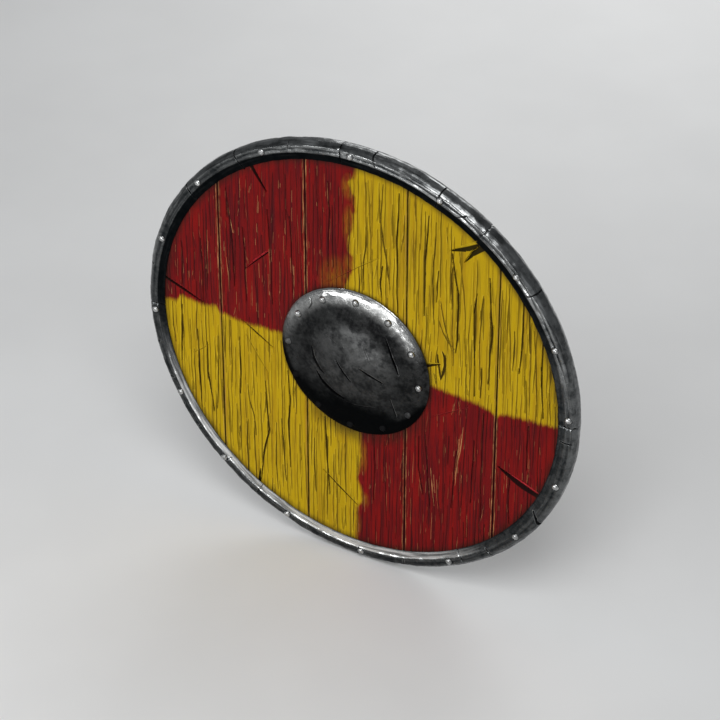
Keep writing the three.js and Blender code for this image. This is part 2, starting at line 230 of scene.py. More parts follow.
# %% [markdown]
# A groove is a row of points, each a place on the face in shares of the outer radius, with the
# groove's width to its left and its right in millimetres. The field below measures, for every
# point of a piece, how far it lies past the edge of the nearest groove and on which side of its
# middle line. Both change evenly from point to point, so a material can draw a clean line from
# them even where it is thinner than the grid. Cracks, cuts and scratches all use it.

# %% Groove fields
width_margin = 1.8 * millimetre


def groove(depth, *points, tone=1.0):
    """A groove of that depth share and darkness. Each point is (x, z, width to the left, to the right)."""
    places = [(x * outer_radius, z * outer_radius, left * millimetre, right * millimetre)
              for x, z, left, right in points]
    return depth, tone, places


def groove_field(across, along, grooves, reach=6 * millimetre, least_half=0.0):
    """For each point and its nearest groove: the gap to its edge, the depth share and darkness there,
    the signed place across it, and its half width, which falls to nothing past its ends."""
    count = len(across)
    gap = np.full(count, reach)
    deep = np.zeros(count)
    tone = np.zeros(count)
    offset = np.full(count, reach)
    width = np.zeros(count)
    order = np.argsort(across)
    ordered = across[order]
    for depth, darkness, points in grooves:
        for (ax, az, al, ar), (bx, bz, bl, br) in zip(points, points[1:]):
            far = max(al, ar, bl, br) + reach
            first, last = np.searchsorted(ordered, [min(ax, bx) - far, max(ax, bx) + far])
            chosen = order[first:last]
            chosen = chosen[(along[chosen] > min(az, bz) - far) & (along[chosen] < max(az, bz) + far)]
            if not len(chosen):
                continue
            x, z = across[chosen] - ax, along[chosen] - az
            run_x, run_z = bx - ax, bz - az
            length = math.hypot(run_x, run_z)
            free_share = (x * run_x + z * run_z) / length ** 2
            share = np.clip(free_share, 0, 1)
            past_end = np.abs(free_share - share) * length
            off = np.hypot(x - share * run_x, z - share * run_z)
            leftwards = run_x * z - run_z * x > 0
            half = np.where(leftwards, al + share * (bl - al), ar + share * (br - ar))
            half = np.maximum(half, millimetre / 20)
            shaped = np.maximum(half, least_half)
            deep[chosen] = np.maximum(deep[chosen], depth * np.clip(1 - off / shaped, 0, 1))
            nearer = off - half < gap[chosen]
            nearest = chosen[nearer]
            gap[nearest] = (off - half)[nearer]
            tone[nearest] = darkness
            offset[nearest] = (np.where(leftwards, 1, -1) * off)[nearer]
            width[nearest] = np.where(off < half + width_margin, np.maximum(half - past_end, 0), 0)[nearer]
    return deep, {"gap": gap / millimetre, "tone": tone,
                  "offset": offset / millimetre, "half": width / millimetre}


def keep_field(piece, name, field):
    for part, values in field.items():
        keep_mask(piece, f"{name}_{part}", values)

# %% [markdown]
# Old boards crack along the grain. The widest cracks are listed here by the places they pass, in
# shares of the outer radius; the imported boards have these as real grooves, in the same places and
# of the same width and depth.

# %% The widest cracks
wide_crack_half = 1.5
wide_cracks = [
    ((0.327, 0.80), (0.312, 0.55), (0.313, 0.33)),
    ((0.43, 0.66), (0.463, 0.48), (0.463, 0.27), (0.455, 0.20)),
    ((0.597, 0.60), (0.615, 0.35), (0.603, 0.10)),
    ((0.545, 0.51), (0.535, 0.42), (0.545, 0.02)),
    ((0.84, 0.43), (0.835, 0.25), (0.85, 0.02)),
    ((0.745, 0.55), (0.75, 0.40), (0.74, 0.20)),
    ((0.195, 0.86), (0.187, 0.65), (0.19, 0.30)),
    ((0.123, 0.50), (0.113, 0.42), (0.118, 0.34)),
    ((-0.838, 0.0), (-0.845, -0.15), (-0.85, -0.29)),
    ((-0.765, -0.10), (-0.762, -0.35), (-0.757, -0.50)),
    ((-0.72, -0.15), (-0.72, -0.30), (-0.695, -0.50)),
    ((-0.558, -0.07), (-0.555, -0.20), (-0.56, -0.36)),
    ((-0.437, -0.25), (-0.422, -0.50), (-0.445, -0.60), (-0.47, -0.79)),
    ((-0.325, -0.16), (-0.315, -0.30), (-0.325, -0.42), (-0.32, -0.66)),
    ((-0.147, -0.33), (-0.143, -0.45), (-0.127, -0.73)),
    ((-0.605, 0.64), (-0.588, 0.50), (-0.578, 0.36), (-0.575, 0.18)),
    ((-0.528, 0.48), (-0.522, 0.33), (-0.52, 0.12)),
    ((-0.41, 0.60), (-0.40, 0.45), (-0.393, 0.15)),
    ((-0.305, 0.60), (-0.298, 0.45), (-0.295, 0.24)),
    ((-0.83, 0.32), (-0.826, 0.22), (-0.835, 0.10)),
    ((-0.735, 0.36), (-0.728, 0.20), (-0.73, 0.03)),
    ((-0.125, 0.82), (-0.12, 0.68), (-0.128, 0.42)),
    ((0.298, -0.27), (0.295, -0.42), (0.32, -0.56)),
    ((0.326, -0.25), (0.337, -0.42), (0.352, -0.62)),
    ((0.47, -0.28), (0.458, -0.45), (0.453, -0.58)),
    ((0.55, -0.20), (0.545, -0.35), (0.54, -0.52)),
    ((0.588, -0.05), (0.585, -0.25), (0.588, -0.58)),
    ((0.79, -0.04), (0.785, -0.14), (0.79, -0.26)),
    ((0.715, -0.32), (0.711, -0.42), (0.718, -0.56)),
    ((0.087, -0.36), (0.09, -0.50), (0.086, -0.68)),
]


def crack_groove(half, tone, depth, *places):
    last = len(places) - 1
    points = [(x, z, *[half * (0.35 if i in (0, last) else 1)] * 2) for i, (x, z) in enumerate(places)]
    return groove(depth, *points, tone=tone)


cracks = []
for places in wide_cracks:
    red_board = places[0][0] * places[0][1] < 0
    cracks.append(crack_groove(wide_crack_half * (0.8 if red_board else 1), 0.72 if red_board else 1.0,
                               0.8 if red_board else 1.0, *places))
print("wide cracks:", len(cracks))

# %% [markdown]
# Narrower cracks follow, each with its half width in millimetres and its darkness. Those in the
# upper right board bend round the knot beside the boss, as grain does round a branch.

# %% Narrower cracks
narrow_cracks = [
    (1.0, 0.8, (0.360, 0.78), (0.357, 0.70), (0.348, 0.50), (0.352, 0.42), (0.357, 0.30)),
    (1.1, 1.0, (0.373, 0.56), (0.368, 0.48), (0.366, 0.41)),
    (0.9, 0.8, (0.407, 0.77), (0.410, 0.70)),
    (0.8, 0.6, (0.424, 0.77), (0.427, 0.70)),
    (1.1, 0.9, (0.436, 0.60), (0.432, 0.55), (0.435, 0.40)),
    (0.8, 0.6, (0.462, 0.68), (0.470, 0.62), (0.487, 0.50), (0.495, 0.38), (0.500, 0.15)),
    (1.0, 0.8, (0.574, 0.51), (0.568, 0.44), (0.560, 0.28)),
    (0.8, 0.6, (0.681, 0.60), (0.686, 0.50), (0.695, 0.33), (0.703, 0.10)),
    (1.0, 0.9, (0.713, 0.39), (0.713, 0.30), (0.711, 0.20)),
    (1.1, 1.0, (0.773, 0.50), (0.778, 0.42), (0.781, 0.31)),
    (0.9, 0.7, (0.798, 0.42), (0.808, 0.30), (0.818, 0.15), (0.823, 0.02)),
    (0.8, 0.7, (0.870, 0.28), (0.878, 0.10), (0.883, 0.0)),
    (1.0, 0.8, (0.123, 0.88), (0.112, 0.72), (0.128, 0.60), (0.145, 0.50), (0.158, 0.40)),
    (0.8, 0.6, (0.163, 0.80), (0.169, 0.68), (0.171, 0.60)),
    (0.8, 0.5, (0.056, 0.88), (0.060, 0.78), (0.069, 0.62), (0.066, 0.45)),
    (1.0, 0.9, (0.046, 0.66), (0.046, 0.58), (0.036, 0.48), (0.036, 0.36)),
    (0.8, 0.6, (0.078, 0.46), (0.073, 0.36)),
    (0.7, 0.5, (0.272, 0.78), (0.268, 0.60), (0.270, 0.42)),
    (0.8, 0.6, (0.288, 0.66), (0.285, 0.50), (0.288, 0.28)),
    (0.7, 0.5, (0.332, 0.48), (0.332, 0.20)),
    (0.9, 0.7, (0.385, 0.42), (0.396, 0.36), (0.412, 0.29), (0.438, 0.20)),
    (0.9, 0.7, (0.376, 0.34), (0.397, 0.28), (0.420, 0.24), (0.448, 0.215)),
    (0.8, 0.5, (0.520, 0.45), (0.513, 0.30), (0.518, 0.12)),
    (1.1, 1.0, (0.573, 0.17), (0.575, 0.10), (0.572, 0.02)),
    (0.7, 0.5, (0.660, 0.52), (0.665, 0.30), (0.668, 0.08)),
    (0.8, 0.6, (0.762, 0.30), (0.766, 0.15), (0.770, 0.02)),
    (1.5, 1.0, (0.376, 0.165), (0.380, 0.13), (0.386, 0.09), (0.391, 0.045)),
    (2.2, 1.0, (0.396, 0.185), (0.409, 0.160), (0.411, 0.120), (0.403, 0.085), (0.393, 0.05)),
    (0.8, 0.8, (0.360, 0.065), (0.367, 0.02)),
    (1.0, 0.8, (-0.885, 0.0), (-0.887, -0.12), (-0.876, -0.20)),
    (1.0, 0.9, (-0.665, -0.10), (-0.670, -0.35), (-0.680, -0.48)),
    (0.9, 0.7, (-0.600, 0.0), (-0.598, -0.20), (-0.602, -0.34)),
    (1.1, 0.9, (-0.535, -0.05), (-0.535, -0.28)),
    (0.9, 0.7, (-0.475, -0.10), (-0.477, -0.24)),
    (0.9, 0.8, (-0.525, -0.30), (-0.515, -0.38), (-0.495, -0.45), (-0.487, -0.55)),
    (0.9, 0.7, (-0.527, -0.48), (-0.520, -0.64)),
    (1.2, 1.0, (-0.355, -0.02), (-0.355, -0.16)),
    (1.1, 0.9, (-0.360, -0.42), (-0.352, -0.55), (-0.343, -0.74)),
    (1.0, 0.8, (-0.385, -0.45), (-0.390, -0.60), (-0.385, -0.80)),
    (0.9, 0.7, (-0.270, -0.42), (-0.265, -0.60)),
    (1.1, 0.8, (-0.200, -0.46), (-0.202, -0.60), (-0.195, -0.74)),
    (0.9, 0.8, (-0.180, -0.35), (-0.188, -0.43)),
    (0.9, 0.7, (-0.098, -0.48), (-0.095, -0.74)),
    (0.8, 0.6, (-0.055, -0.44), (-0.050, -0.72)),
    (0.8, 0.6, (-0.620, -0.36), (-0.612, -0.58)),
    (0.8, 0.6, (-0.580, -0.42), (-0.572, -0.66)),
    (0.8, 0.6, (-0.800, -0.06), (-0.802, -0.30), (-0.796, -0.42)),
    (0.9, 0.6, (0.392, -0.42), (0.388, -0.52), (0.400, -0.66)),
    (0.8, 0.6, (0.375, -0.55), (0.376, -0.73)),
    (0.8, 0.6, (0.490, -0.33), (0.484, -0.50), (0.487, -0.63)),
    (0.9, 0.6, (0.525, -0.53), (0.522, -0.71)),
    (0.8, 0.6, (-0.352, 0.42), (-0.352, 0.18)),
    (0.8, 0.6, (-0.270, 0.64), (-0.265, 0.30)),
    (0.9, 0.6, (-0.180, 0.86), (-0.172, 0.60), (-0.176, 0.36)),
    (0.9, 0.6, (0.145, -0.38), (0.142, -0.56), (0.148, -0.80)),
    (0.8, 0.5, (0.415, -0.20), (0.420, -0.38)),
    (0.9, 0.6, (0.655, -0.30), (0.668, -0.46), (0.664, -0.60)),
    (0.8, 0.6, (0.755, -0.10), (0.750, -0.30)),
]
cracks += [crack_groove(half, tone, 0.6 * tone, *places) for half, tone, *places in narrow_cracks]
print("with narrower ones:", len(cracks))

# %% [markdown]
# Hundreds of finer cracks fill the rest. They are drawn by chance from a fixed seed: rows of
# upright lines that wander a little, with some that fork, as drying wood does.

# %% The finer cracks
crack_seed = 11
crack_spacing = 0.0205
knot_place = (0.395, 0.115)
knot_reach = (0.075, 0.11)
knot_push = 0.012
smooth_patch = ((0.53, 0.60), (0.06, 0.09))


def round_the_knot(x, z):
    """Moves a place sideways, away from the knot."""
    away = x - knot_place[0]
    closeness = math.exp(-(away / knot_reach[0]) ** 2 - ((z - knot_place[1]) / knot_reach[1]) ** 2)
    return x + math.copysign(knot_push * closeness, away)


def on_smooth_patch(x, z):
    (patch_x, patch_z), (reach_x, reach_z) = smooth_patch
    return math.hypot((x - patch_x) / reach_x, (z - patch_z) / reach_z) < 1


def fine_cracks():
    chance = np.random.default_rng(crack_seed)
    made = []
    for column in np.arange(-0.93, 0.93, crack_spacing):
        top = math.sqrt(max(0.95 ** 2 - column ** 2, 0))
        z = top - chance.uniform(0, 0.15)
        while z > -top:
            length = chance.uniform(0.10, 0.46)
            half = chance.choice([0.5, 0.6, 0.7, 0.85])
            tone = float(np.clip(chance.normal(0.52, 0.17), 0.25, 0.95))
            x = column + chance.normal(0, 0.005)
            lean = chance.normal(0, 0.016)
            steps = max(2, int(length / 0.07))
            places = []
            for i in range(steps + 1):
                down = z - length * i / steps
                wander = lean * (z - down) + chance.normal(0, 0.0006)
                places.append((round_the_knot(x + wander, down), down))
            if not on_smooth_patch(*places[steps // 2]):
                made.append(crack_groove(half, tone, 0.5 * tone, *places))
            if chance.random() < 0.22:
                fork = places[steps // 2]
                side = chance.choice([-1, 1]) * chance.uniform(0.008, 0.016)
                drop = chance.uniform(0.06, 0.12)
                tip = (fork[0] + side, fork[1] - drop)
                made.append(crack_groove(half * 0.8, tone, 0.4 * tone, fork, tip))
            z -= length + chance.uniform(0.005, 0.06)
    return made


cracks += fine_cracks()
print("cracks in all:", len(cracks))

# %% [markdown]
# Where paint has flaked along the grain, thin streaks of tan wood show. A few groups of them are
# listed, and more are drawn by chance beside the cracks, mostly on the red boards.

# %% Bare streaks
streak_seed = 23
listed_widening = 1.25
listed_streaks = [
    (0.6, (-0.592, 0.56), (-0.584, 0.49), (-0.575, 0.44)), (0.5, (-0.535, 0.71), (-0.535, 0.65)),
    (0.5, (-0.610, 0.31), (-0.603, 0.22), (-0.602, 0.14)),
    (0.5, (-0.697, 0.36), (-0.703, 0.27), (-0.702, 0.20)),
    (0.5, (-0.712, 0.31), (-0.716, 0.22)), (0.5, (-0.688, 0.30), (-0.690, 0.21)),
    (0.6, (-0.410, 0.29), (-0.406, 0.19)), (0.5, (-0.491, 0.21), (-0.490, 0.11)),
    (0.5, (-0.402, 0.46), (-0.396, 0.35)), (0.5, (-0.335, 0.50), (-0.331, 0.39)),
    (0.5, (-0.286, 0.37), (-0.291, 0.21)), (0.5, (-0.142, 0.85), (-0.140, 0.79)),
    (0.5, (-0.455, 0.33), (-0.452, 0.26)), (0.5, (-0.825, 0.24), (-0.822, 0.16)),
    (0.6, (0.500, -0.15), (0.490, -0.25), (0.476, -0.35), (0.466, -0.46)),
    (0.6, (0.487, -0.19), (0.478, -0.27), (0.467, -0.36)), (0.5, (0.512, -0.17), (0.503, -0.26)),
    (0.6, (0.352, -0.41), (0.362, -0.50), (0.372, -0.60)), (0.5, (0.367, -0.44), (0.376, -0.53)),
    (0.5, (0.382, -0.46), (0.387, -0.57)), (0.5, (0.362, -0.64), (0.361, -0.78)),
    (0.5, (0.146, -0.46), (0.150, -0.54)), (0.5, (0.160, -0.47), (0.164, -0.56)),
    (0.5, (0.137, -0.49), (0.140, -0.56)), (0.5, (0.313, -0.71), (0.312, -0.77)),
    (0.5, (0.584, -0.32), (0.585, -0.43)), (0.5, (0.690, -0.25), (0.690, -0.41)),
    (0.5, (0.800, -0.20), (0.801, -0.29)), (0.5, (0.104, -0.40), (0.101, -0.51)),
    (0.5, (0.040, -0.67), (0.042, -0.76)), (0.5, (0.700, -0.30), (0.702, -0.38)),
    (0.5, (0.272, -0.36), (0.270, -0.52)), (0.5, (0.262, -0.60), (0.264, -0.74)),
]


def chance_streaks():
    """Short streaks close beside cracks, with a gap kept to the crack itself. Red has the most."""
    chance = np.random.default_rng(streak_seed)
    made = []
    for depth, tone, points in cracks + cracks:
        x, z = points[0][0] / outer_radius, points[0][1] / outer_radius
        likely = 0.95 if x * z < 0 else 0.12
        if chance.random() > likely:
            continue
        first = chance.integers(0, len(points) - 1)
        (ax, az, half, _), (bx, bz, _, _) = points[first:first + 2]
        side = chance.choice([-1, 1]) * (half + 0.9 * millimetre)
        start, end = sorted(chance.uniform(0, 1, 2))
        ends = [((ax + share * (bx - ax) + side) / outer_radius, (az + share * (bz - az)) / outer_radius)
                for share in (start, end)]
        if abs(ends[0][1] - ends[1][1]) > 0.015:
            made.append(crack_groove(chance.uniform(0.45, 0.75), chance.uniform(0.55, 1.0), 0, *ends))
    return made


streaks = [crack_groove(half * listed_widening, 1.0, 0, *places) for half, *places in listed_streaks]
streaks += chance_streaks()
print("bare streaks:", len(streaks))

# %% [markdown]
# Sword and axe cuts cross the grain. A blade that comes in at a slant leaves one long side and
# one steep side, so each point has its own width to the left and to the right.

# %% Cuts in the boards
board_cuts = [
    groove(1.0, (-0.545, 0.900, 2.4, 6.0), (-0.490, 0.810, 2.2, 5.0), (-0.446, 0.738, 1.6, 3.2),
           (-0.412, 0.684, 0.4, 0.6)),
    groove(1.0, (-0.960, 0.130, 2.4, 2.2), (-0.930, 0.118, 2.8, 2.4), (-0.820, 0.078, 3.4, 2.2),
           (-0.735, 0.046, 0.6, 0.6)),
    groove(0.8, (-0.518, 0.285, 0.6, 0.6), (-0.470, 0.338, 2.6, 1.8), (-0.412, 0.396, 3.0, 1.8)),
    groove(0.7, (-0.545, 0.022, 0.6, 0.4), (-0.470, -0.022, 2.8, 1.4), (-0.396, -0.068, 0.6, 0.4)),
    groove(0.25, (-0.142, 0.336, 0.4, 0.4), (0.020, 0.470, 1.0, 1.1), (0.106, 0.535, 0.4, 0.4), tone=0.55),
    groove(1.0, (0.425, 0.672, 0.6, 1.0), (0.490, 0.706, 5.5, 7.0), (0.528, 0.728, 6.0, 5.0),
           (0.560, 0.746, 6.0, 1.5), (0.600, 0.767, 6.0, 1.5)),
    groove(1.0, (0.488, 0.640, 0.4, 1.0), (0.515, 0.690, 0.6, 6.0), (0.560, 0.745, 0.8, 11.0)),
    groove(1.0, (0.660, -0.288, 0.6, 1.0), (0.720, -0.318, 5.0, 5.0), (0.770, -0.340, 7.0, 7.0),
           (0.840, -0.368, 6.5, 4.5), (0.900, -0.394, 4.0, 3.5)),
    groove(0.8, (0.310, 0.085, 5.5, 3.5), (0.350, 0.105, 4.2, 2.6), (0.386, 0.118, 1.6, 0.8)),
    groove(0.5, (-0.158, -0.610, 0.5, 0.5), (-0.080, -0.670, 2.0, 1.5), (0.008, -0.738, 0.5, 0.5)),
    groove(0.3, (0.356, -0.150, 0.4, 0.5), (0.440, -0.095, 1.4, 1.0), (0.518, -0.047, 0.4, 0.4), tone=0.6),
    groove(0.3, (-0.790, -0.226, 0.4, 0.4), (-0.750, -0.195, 1.4, 1.0), (-0.715, -0.163, 0.4, 0.4),
           tone=0.6),
    groove(0.3, (-0.525, -0.045, 0.4, 0.4), (-0.468, -0.135, 1.3, 1.0), (-0.420, -0.205, 0.4, 0.4),
           tone=0.6),
    groove(1.0, (-0.471, -0.725, 0.6, 0.6), (-0.474, -0.775, 2.0, 2.8), (-0.477, -0.825, 2.6, 4.5)),
]
print("cuts in the boards:", len(board_cuts))

# %% [markdown]
# Each plank starts as a fine grid on the face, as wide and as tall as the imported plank. Its
# border is drawn back to the plank's thickness and closed, which gives a plain board. A round
# disc then trims all five to one circle, and a bore takes the hand hole out of the middle one.
# The grid is finer across the grain than along it, because that is the way the cracks run.
# Neighbours are widened by a hair so that no daylight shows between them from behind.

# %% Planks
grid_across = 1.0 * millimetre
grid_along = 1.55 * millimetre
hand_hole_radius = 58 * millimetre
disc_steps = 256
bore_steps = 96
crack_depth = 2.6 * millimetre
cut_depth = 4.5 * millimetre
least_crack_half = 1.1 * millimetre
least_cut_half = 1.5 * millimetre
seam_closing = 0.14 * millimetre
seam_half = 1.6 * millimetre
seam_depth = 2.6 * millimetre


def upright_cylinder(radius, low_y, high_y, steps, name):
    bpy.ops.object.select_all(action="DESELECT")
    bpy.ops.mesh.primitive_cylinder_add(vertices=steps, radius=radius, depth=high_y - low_y,
                                        location=(0, (low_y + high_y) / 2, 0), rotation=(math.pi / 2, 0, 0))
    made = named(name)
    settle(made)
    return made


def cut_with(piece, tool, operation):
    saw = piece.modifiers.new(operation, "BOOLEAN")
    saw.operation = operation
    saw.solver = "MANIFOLD"
    saw.object = tool
    apply_modifiers(piece)


def plain_plank(name, low, high):
    width, height = high.x - low.x, high.z - low.z
    bpy.ops.object.select_all(action="DESELECT")
    bpy.ops.mesh.primitive_grid_add(x_subdivisions=round(width / grid_across),
                                    y_subdivisions=round(height / grid_along), size=1,
                                    location=((low.x + high.x) / 2, low.y, (low.z + high.z) / 2),
                                    rotation=(math.pi / 2, 0, 0))
    plank = named(name)
    plank.scale = (width, height, 1)
    settle(plank)
    begin_edit(plank, "EDGE")
    bpy.ops.mesh.select_non_manifold()
    bpy.ops.mesh.extrude_region_move(TRANSFORM_OT_translate={"value": (0, high.y - low.y, 0)})
    bpy.ops.mesh.edge_face_add()
    end_edit()
    return plank


def wavered(x, z):
    """Lets the grain waver, so that no crack runs quite straight."""
    slow = np.sin(z * 75 + x * 31) * 0.35
    quick = np.sin(z * 190 + x * 57 + 1.7) * 0.12
    return x + (slow + quick) * millimetre


def crack_and_cut(plank, low, high):
    places = points_of(plank)
    x, z = places[:, 0], places[:, 2]
    on_face = np.abs(places[:, 1] - face_y) < millimetre / 10
    wavy = wavered(x, z)
    cracked, crack_field = groove_field(wavy, z, cracks, least_half=least_crack_half)
    cut, cut_field = groove_field(x, z, board_cuts, least_half=least_cut_half)
    _, streak_field = groove_field(wavy, z, streaks, reach=4 * millimetre)
    from_seam = np.full(len(x), 20 * millimetre)
    if low.x > -board_radius + millimetre:
        from_seam = np.minimum(from_seam, x - low.x)
    if high.x < board_radius - millimetre:
        from_seam = np.minimum(from_seam, high.x - x)
    seam = np.clip(1 - from_seam / seam_half, 0, 1) ** 1.5
    sunk = np.maximum.reduce([cracked * crack_depth, cut * cut_depth, seam * seam_depth])
    deepest = max(crack_depth, cut_depth)
    sink_by(plank, np.where(on_face, sunk / deepest, 0), deepest)
    keep_field(plank, "crack", crack_field)
    keep_field(plank, "cut", cut_field)
    keep_field(plank, "streak", streak_field)
    keep_mask(plank, "seam_gap", from_seam / millimetre)


trimmer = upright_cylinder(board_radius, face_y - 0.05, back_y + 0.05, disc_steps, "trimmer")
borer = upright_cylinder(hand_hole_radius, face_y - 0.05, back_y + 0.05, bore_steps, "borer")
planks = []
for plank_name in plank_names:
    low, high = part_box(plank_name)
    low.z, high.z = -board_radius, board_radius
    low.x, high.x = low.x - seam_closing, high.x + seam_closing
    plank = plain_plank(plank_name + "_wood", low, high)
    cut_with(plank, trimmer, "INTERSECT")
    if plank_name == "centre_plank":
        cut_with(plank, borer, "DIFFERENCE")
    crack_and_cut(plank, low, high)
    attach(plank, "root")
    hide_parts(plank_name)
    planks.append(plank)
    print(plank.name, "faces", len(plank.data.polygons))
for tool in (trimmer, borer):
    bpy.data.objects.remove(tool)

# %% [markdown]
# The rim is sheet iron, bent over the edge of the boards in six lengths. A smith closes it over
# the edge with a hammer, so its flats wander and its edges are soft. Two low ridges run along its
# front, with a shallow hollow between them. Here the section is drawn by extruding one point
# along the bend, and is then spun round the shield's axis.

# %% Rim section
sheet_thickness = 1.6 * millimetre
lip_width = 30.4 * millimetre
foot_lift = 1.9 * millimetre
inner_ridge = 15.6 * millimetre
outer_ridge = 7.4 * millimetre
section = [
    (lip_width, foot_lift - 0.5 * millimetre),
    (lip_width - 0.9 * millimetre, foot_lift),
    (25.4 * millimetre, foot_lift + 0.5 * millimetre),
    (20.2 * millimetre, rim_front_crest - 1.5 * millimetre),
    (17.2 * millimetre, rim_front_crest - 0.4 * millimetre),
    (inner_ridge, rim_front_crest),
    (13.6 * millimetre, rim_front_crest - 0.25 * millimetre),
    (11.4 * millimetre, rim_front_crest - 0.5 * millimetre),
    (9.2 * millimetre, rim_front_crest - 0.2 * millimetre),
    (outer_ridge, rim_front_crest),
    (5.8 * millimetre, rim_front_crest - 0.8 * millimetre),
    (2.4 * millimetre, rim_front_crest - 4.0 * millimetre),
    (0.8 * millimetre, rim_front_crest - 6.6 * millimetre),
    (0, rim_front_crest - 10.0 * millimetre),
]
section_fineness = 4
spin_step = 0.36


def full_section():
    """Points (radius, y) of the rim's outer face, from the front foot round to the back foot."""
    front = [(outer_radius - inward, face_y - lift) for inward, lift in section]
    back_depth = back_y - face_y
    ratio = rim_back_crest / rim_front_crest
    back = []
    for inward, lift in reversed(section):
        share = lift / rim_front_crest
        deep = face_y + back_depth + (lift * ratio if share > 0 else lift)
        back.append((outer_radius - inward, min(deep, rim_high.y)))
    return front + [point for point in back if point[1] > front[-1][1] + millimetre]


rim_outline = full_section()
print("rim section points:", len(rim_outline))

# %% [markdown]
# Cuts and nicks in the rim are made the way a file would: the sheet is parted along three lines
# with bisect, and the middle line is pushed in. Each is listed by its angle round the shield,
# its slant, where it starts and ends across the rim's face (0 at the foot, 1 at the outer edge),
# its half width and its depth in millimetres. The same rows give a gap field, for the painted shade inside.

# %% Rim marks and joints
rim_marks = [
    (36.7, 10, 0.45, 1.25, 1.9, 2.4),
    (61.0, 40, 0.30, 0.85, 2.0, 2.2),
    (67.5, -4, 0.10, 1.30, 1.6, 2.2),
    (85.0, -25, 0.45, 1.20, 1.6, 2.2),
    (124.0, -6, 0.00, 1.30, 1.7, 2.3),
    (143.0, 12, 0.10, 1.00, 1.7, 2.1),
    (170.0, 5, 0.75, 1.30, 2.4, 2.6),
    (193.0, -10, 0.70, 1.30, 2.4, 3.0),
    (229.0, 15, 0.20, 0.90, 1.6, 2.2),
    (271.0, 8, 0.30, 1.20, 1.6, 2.2),
    (311.0, -12, 0.35, 1.25, 1.6, 2.0),
    (330.6, 38, 0.20, 1.30, 3.0, 2.6),
    (356.7, -5, 0.20, 0.80, 1.9, 2.3),
    (203.0, 12, 0.60, 1.30, 2.8, 3.2),
    (108.0, 20, 0.55, 0.95, 1.0, 1.0),
    (211.0, -8, 0.72, 1.30, 2.2, 2.4),
    (218.0, -18, 0.50, 1.20, 1.5, 1.8),
    (256.0, -30, 0.35, 0.80, 1.2, 1.4),
    (284.0, 22, 0.45, 1.00, 1.2, 1.4),
]
print("marks in the rim:", len(rim_marks))


def on_circle(radius, degrees, y=0.0):
    angle = math.radians(degrees)
    return Vector((radius * math.cos(angle), y, radius * math.sin(angle)))


def mark_line(degrees, slant, start, end):
    """The mark's middle place, its normal and its direction outwards, on the face of the rim."""
    middle = outer_radius - lip_width * (1 - (start + min(end, 1)) / 2)
    tangent = Vector((-math.sin(math.radians(degrees)), 0, math.cos(math.radians(degrees))))
    outwards = on_circle(1, degrees)
    lean = math.radians(slant)
    return (on_circle(middle, degrees, face_y), tangent * math.cos(lean) + outwards * math.sin(lean),
            outwards * math.cos(lean) - tangent * math.sin(lean))


def mark_groove(degrees, slant, start, end, half_width, _):
    place, _, along = mark_line(degrees, slant, start, end)
    reach = (min(end, 1) - start) / 2 * lip_width
    inner, outer = place - along * reach, place + along * reach
    return groove(1, (inner.x / outer_radius, inner.z / outer_radius, half_width * 0.5, half_width * 0.5),
                  (outer.x / outer_radius, outer.z / outer_radius, half_width, half_width))


def segment_span(name):
    """First and last angle of a rim length, read from its packed points."""
    places = points_of(frame["nodes"][name])
    angles = np.degrees(np.arctan2(places[:, 2], places[:, 0])) % 360
    ordered = np.unique(np.round(angles, 3))
    gaps = np.diff(np.append(ordered, ordered[0] + 360))
    widest = int(np.argmax(gaps))
    first = ordered[(widest + 1) % len(ordered)]
    last = ordered[widest]
    return float(first), float(last if last > first else last + 360)


def draw_line(name, places):
    """One point, extruded from place to place. Edit mode stays on, with the whole line selected."""
    bpy.ops.object.select_all(action="DESELECT")
    bpy.ops.mesh.primitive_plane_add(size=0.01, location=places[0])
    piece = named(name)
    settle(piece)
    bpy.ops.object.mode_set(mode="EDIT")
    bpy.ops.mesh.select_mode(type="VERT")
    bpy.ops.mesh.select_all(action="SELECT")
    bpy.ops.mesh.merge(type="CENTER")
    for before, after in zip(places, places[1:]):
        bpy.ops.mesh.extrude_region_move(TRANSFORM_OT_translate={"value": after - before})
    bpy.ops.mesh.select_all(action="SELECT")
    return piece


def spun(name, outline, first, last, steps, fineness):
    piece = draw_line(name, [on_circle(radius, first, y) for radius, y in outline])
    bpy.ops.mesh.subdivide(number_cuts=fineness - 1)
    bpy.ops.mesh.select_all(action="SELECT")
    bpy.ops.mesh.spin(steps=steps, angle=math.radians(last - first), center=(0, 0, 0), axis=(0, 1, 0))
    end_edit()
    return piece


def mark_rim(piece, degrees, slant, start, end, half_width, depth):
    half_width, depth = half_width * millimetre, depth * millimetre
    place, normal, _ = mark_line(degrees, slant, start, end)
    outwards = on_circle(1, degrees)
    reach = 2.2 * lip_width
    foot = outer_radius - lip_width
    begin_edit(piece, "FACE")
    for offset in (-half_width, 0, half_width):
        select_faces(piece, lambda face: (face.calc_center_median() - place).length < reach)
        bpy.ops.mesh.bisect(plane_co=place + normal * offset, plane_no=normal, use_fill=False)
    bpy.ops.mesh.select_mode(type="VERT")

    def in_the_cut(co):
        across = (math.hypot(co.x, co.z) - foot) / lip_width
        wrap = max(0.0, (co.y - face_y) / lip_width) if across > 0.9 else 0.0
        near = abs((co - place).dot(normal)) < 0.05 * millimetre and (co - place).length < reach
        return near and start <= across + wrap <= end and co.y < back_y - millimetre

    found = pick_points(piece, in_the_cut)
    inwards = -outwards * 0.7 + Vector((0, 0.7, 0))
    bpy.ops.transform.translate(value=inwards * depth)
    end_edit()
    return found

# %% [markdown]
# Each length is spun, its faces are turned outwards, and a displacement by noise beats it like a
# hammer. The marks come next, and the sheet gets its thickness last. Gaps to the ends, to the
# marks and to the rivet heads are kept for the material.

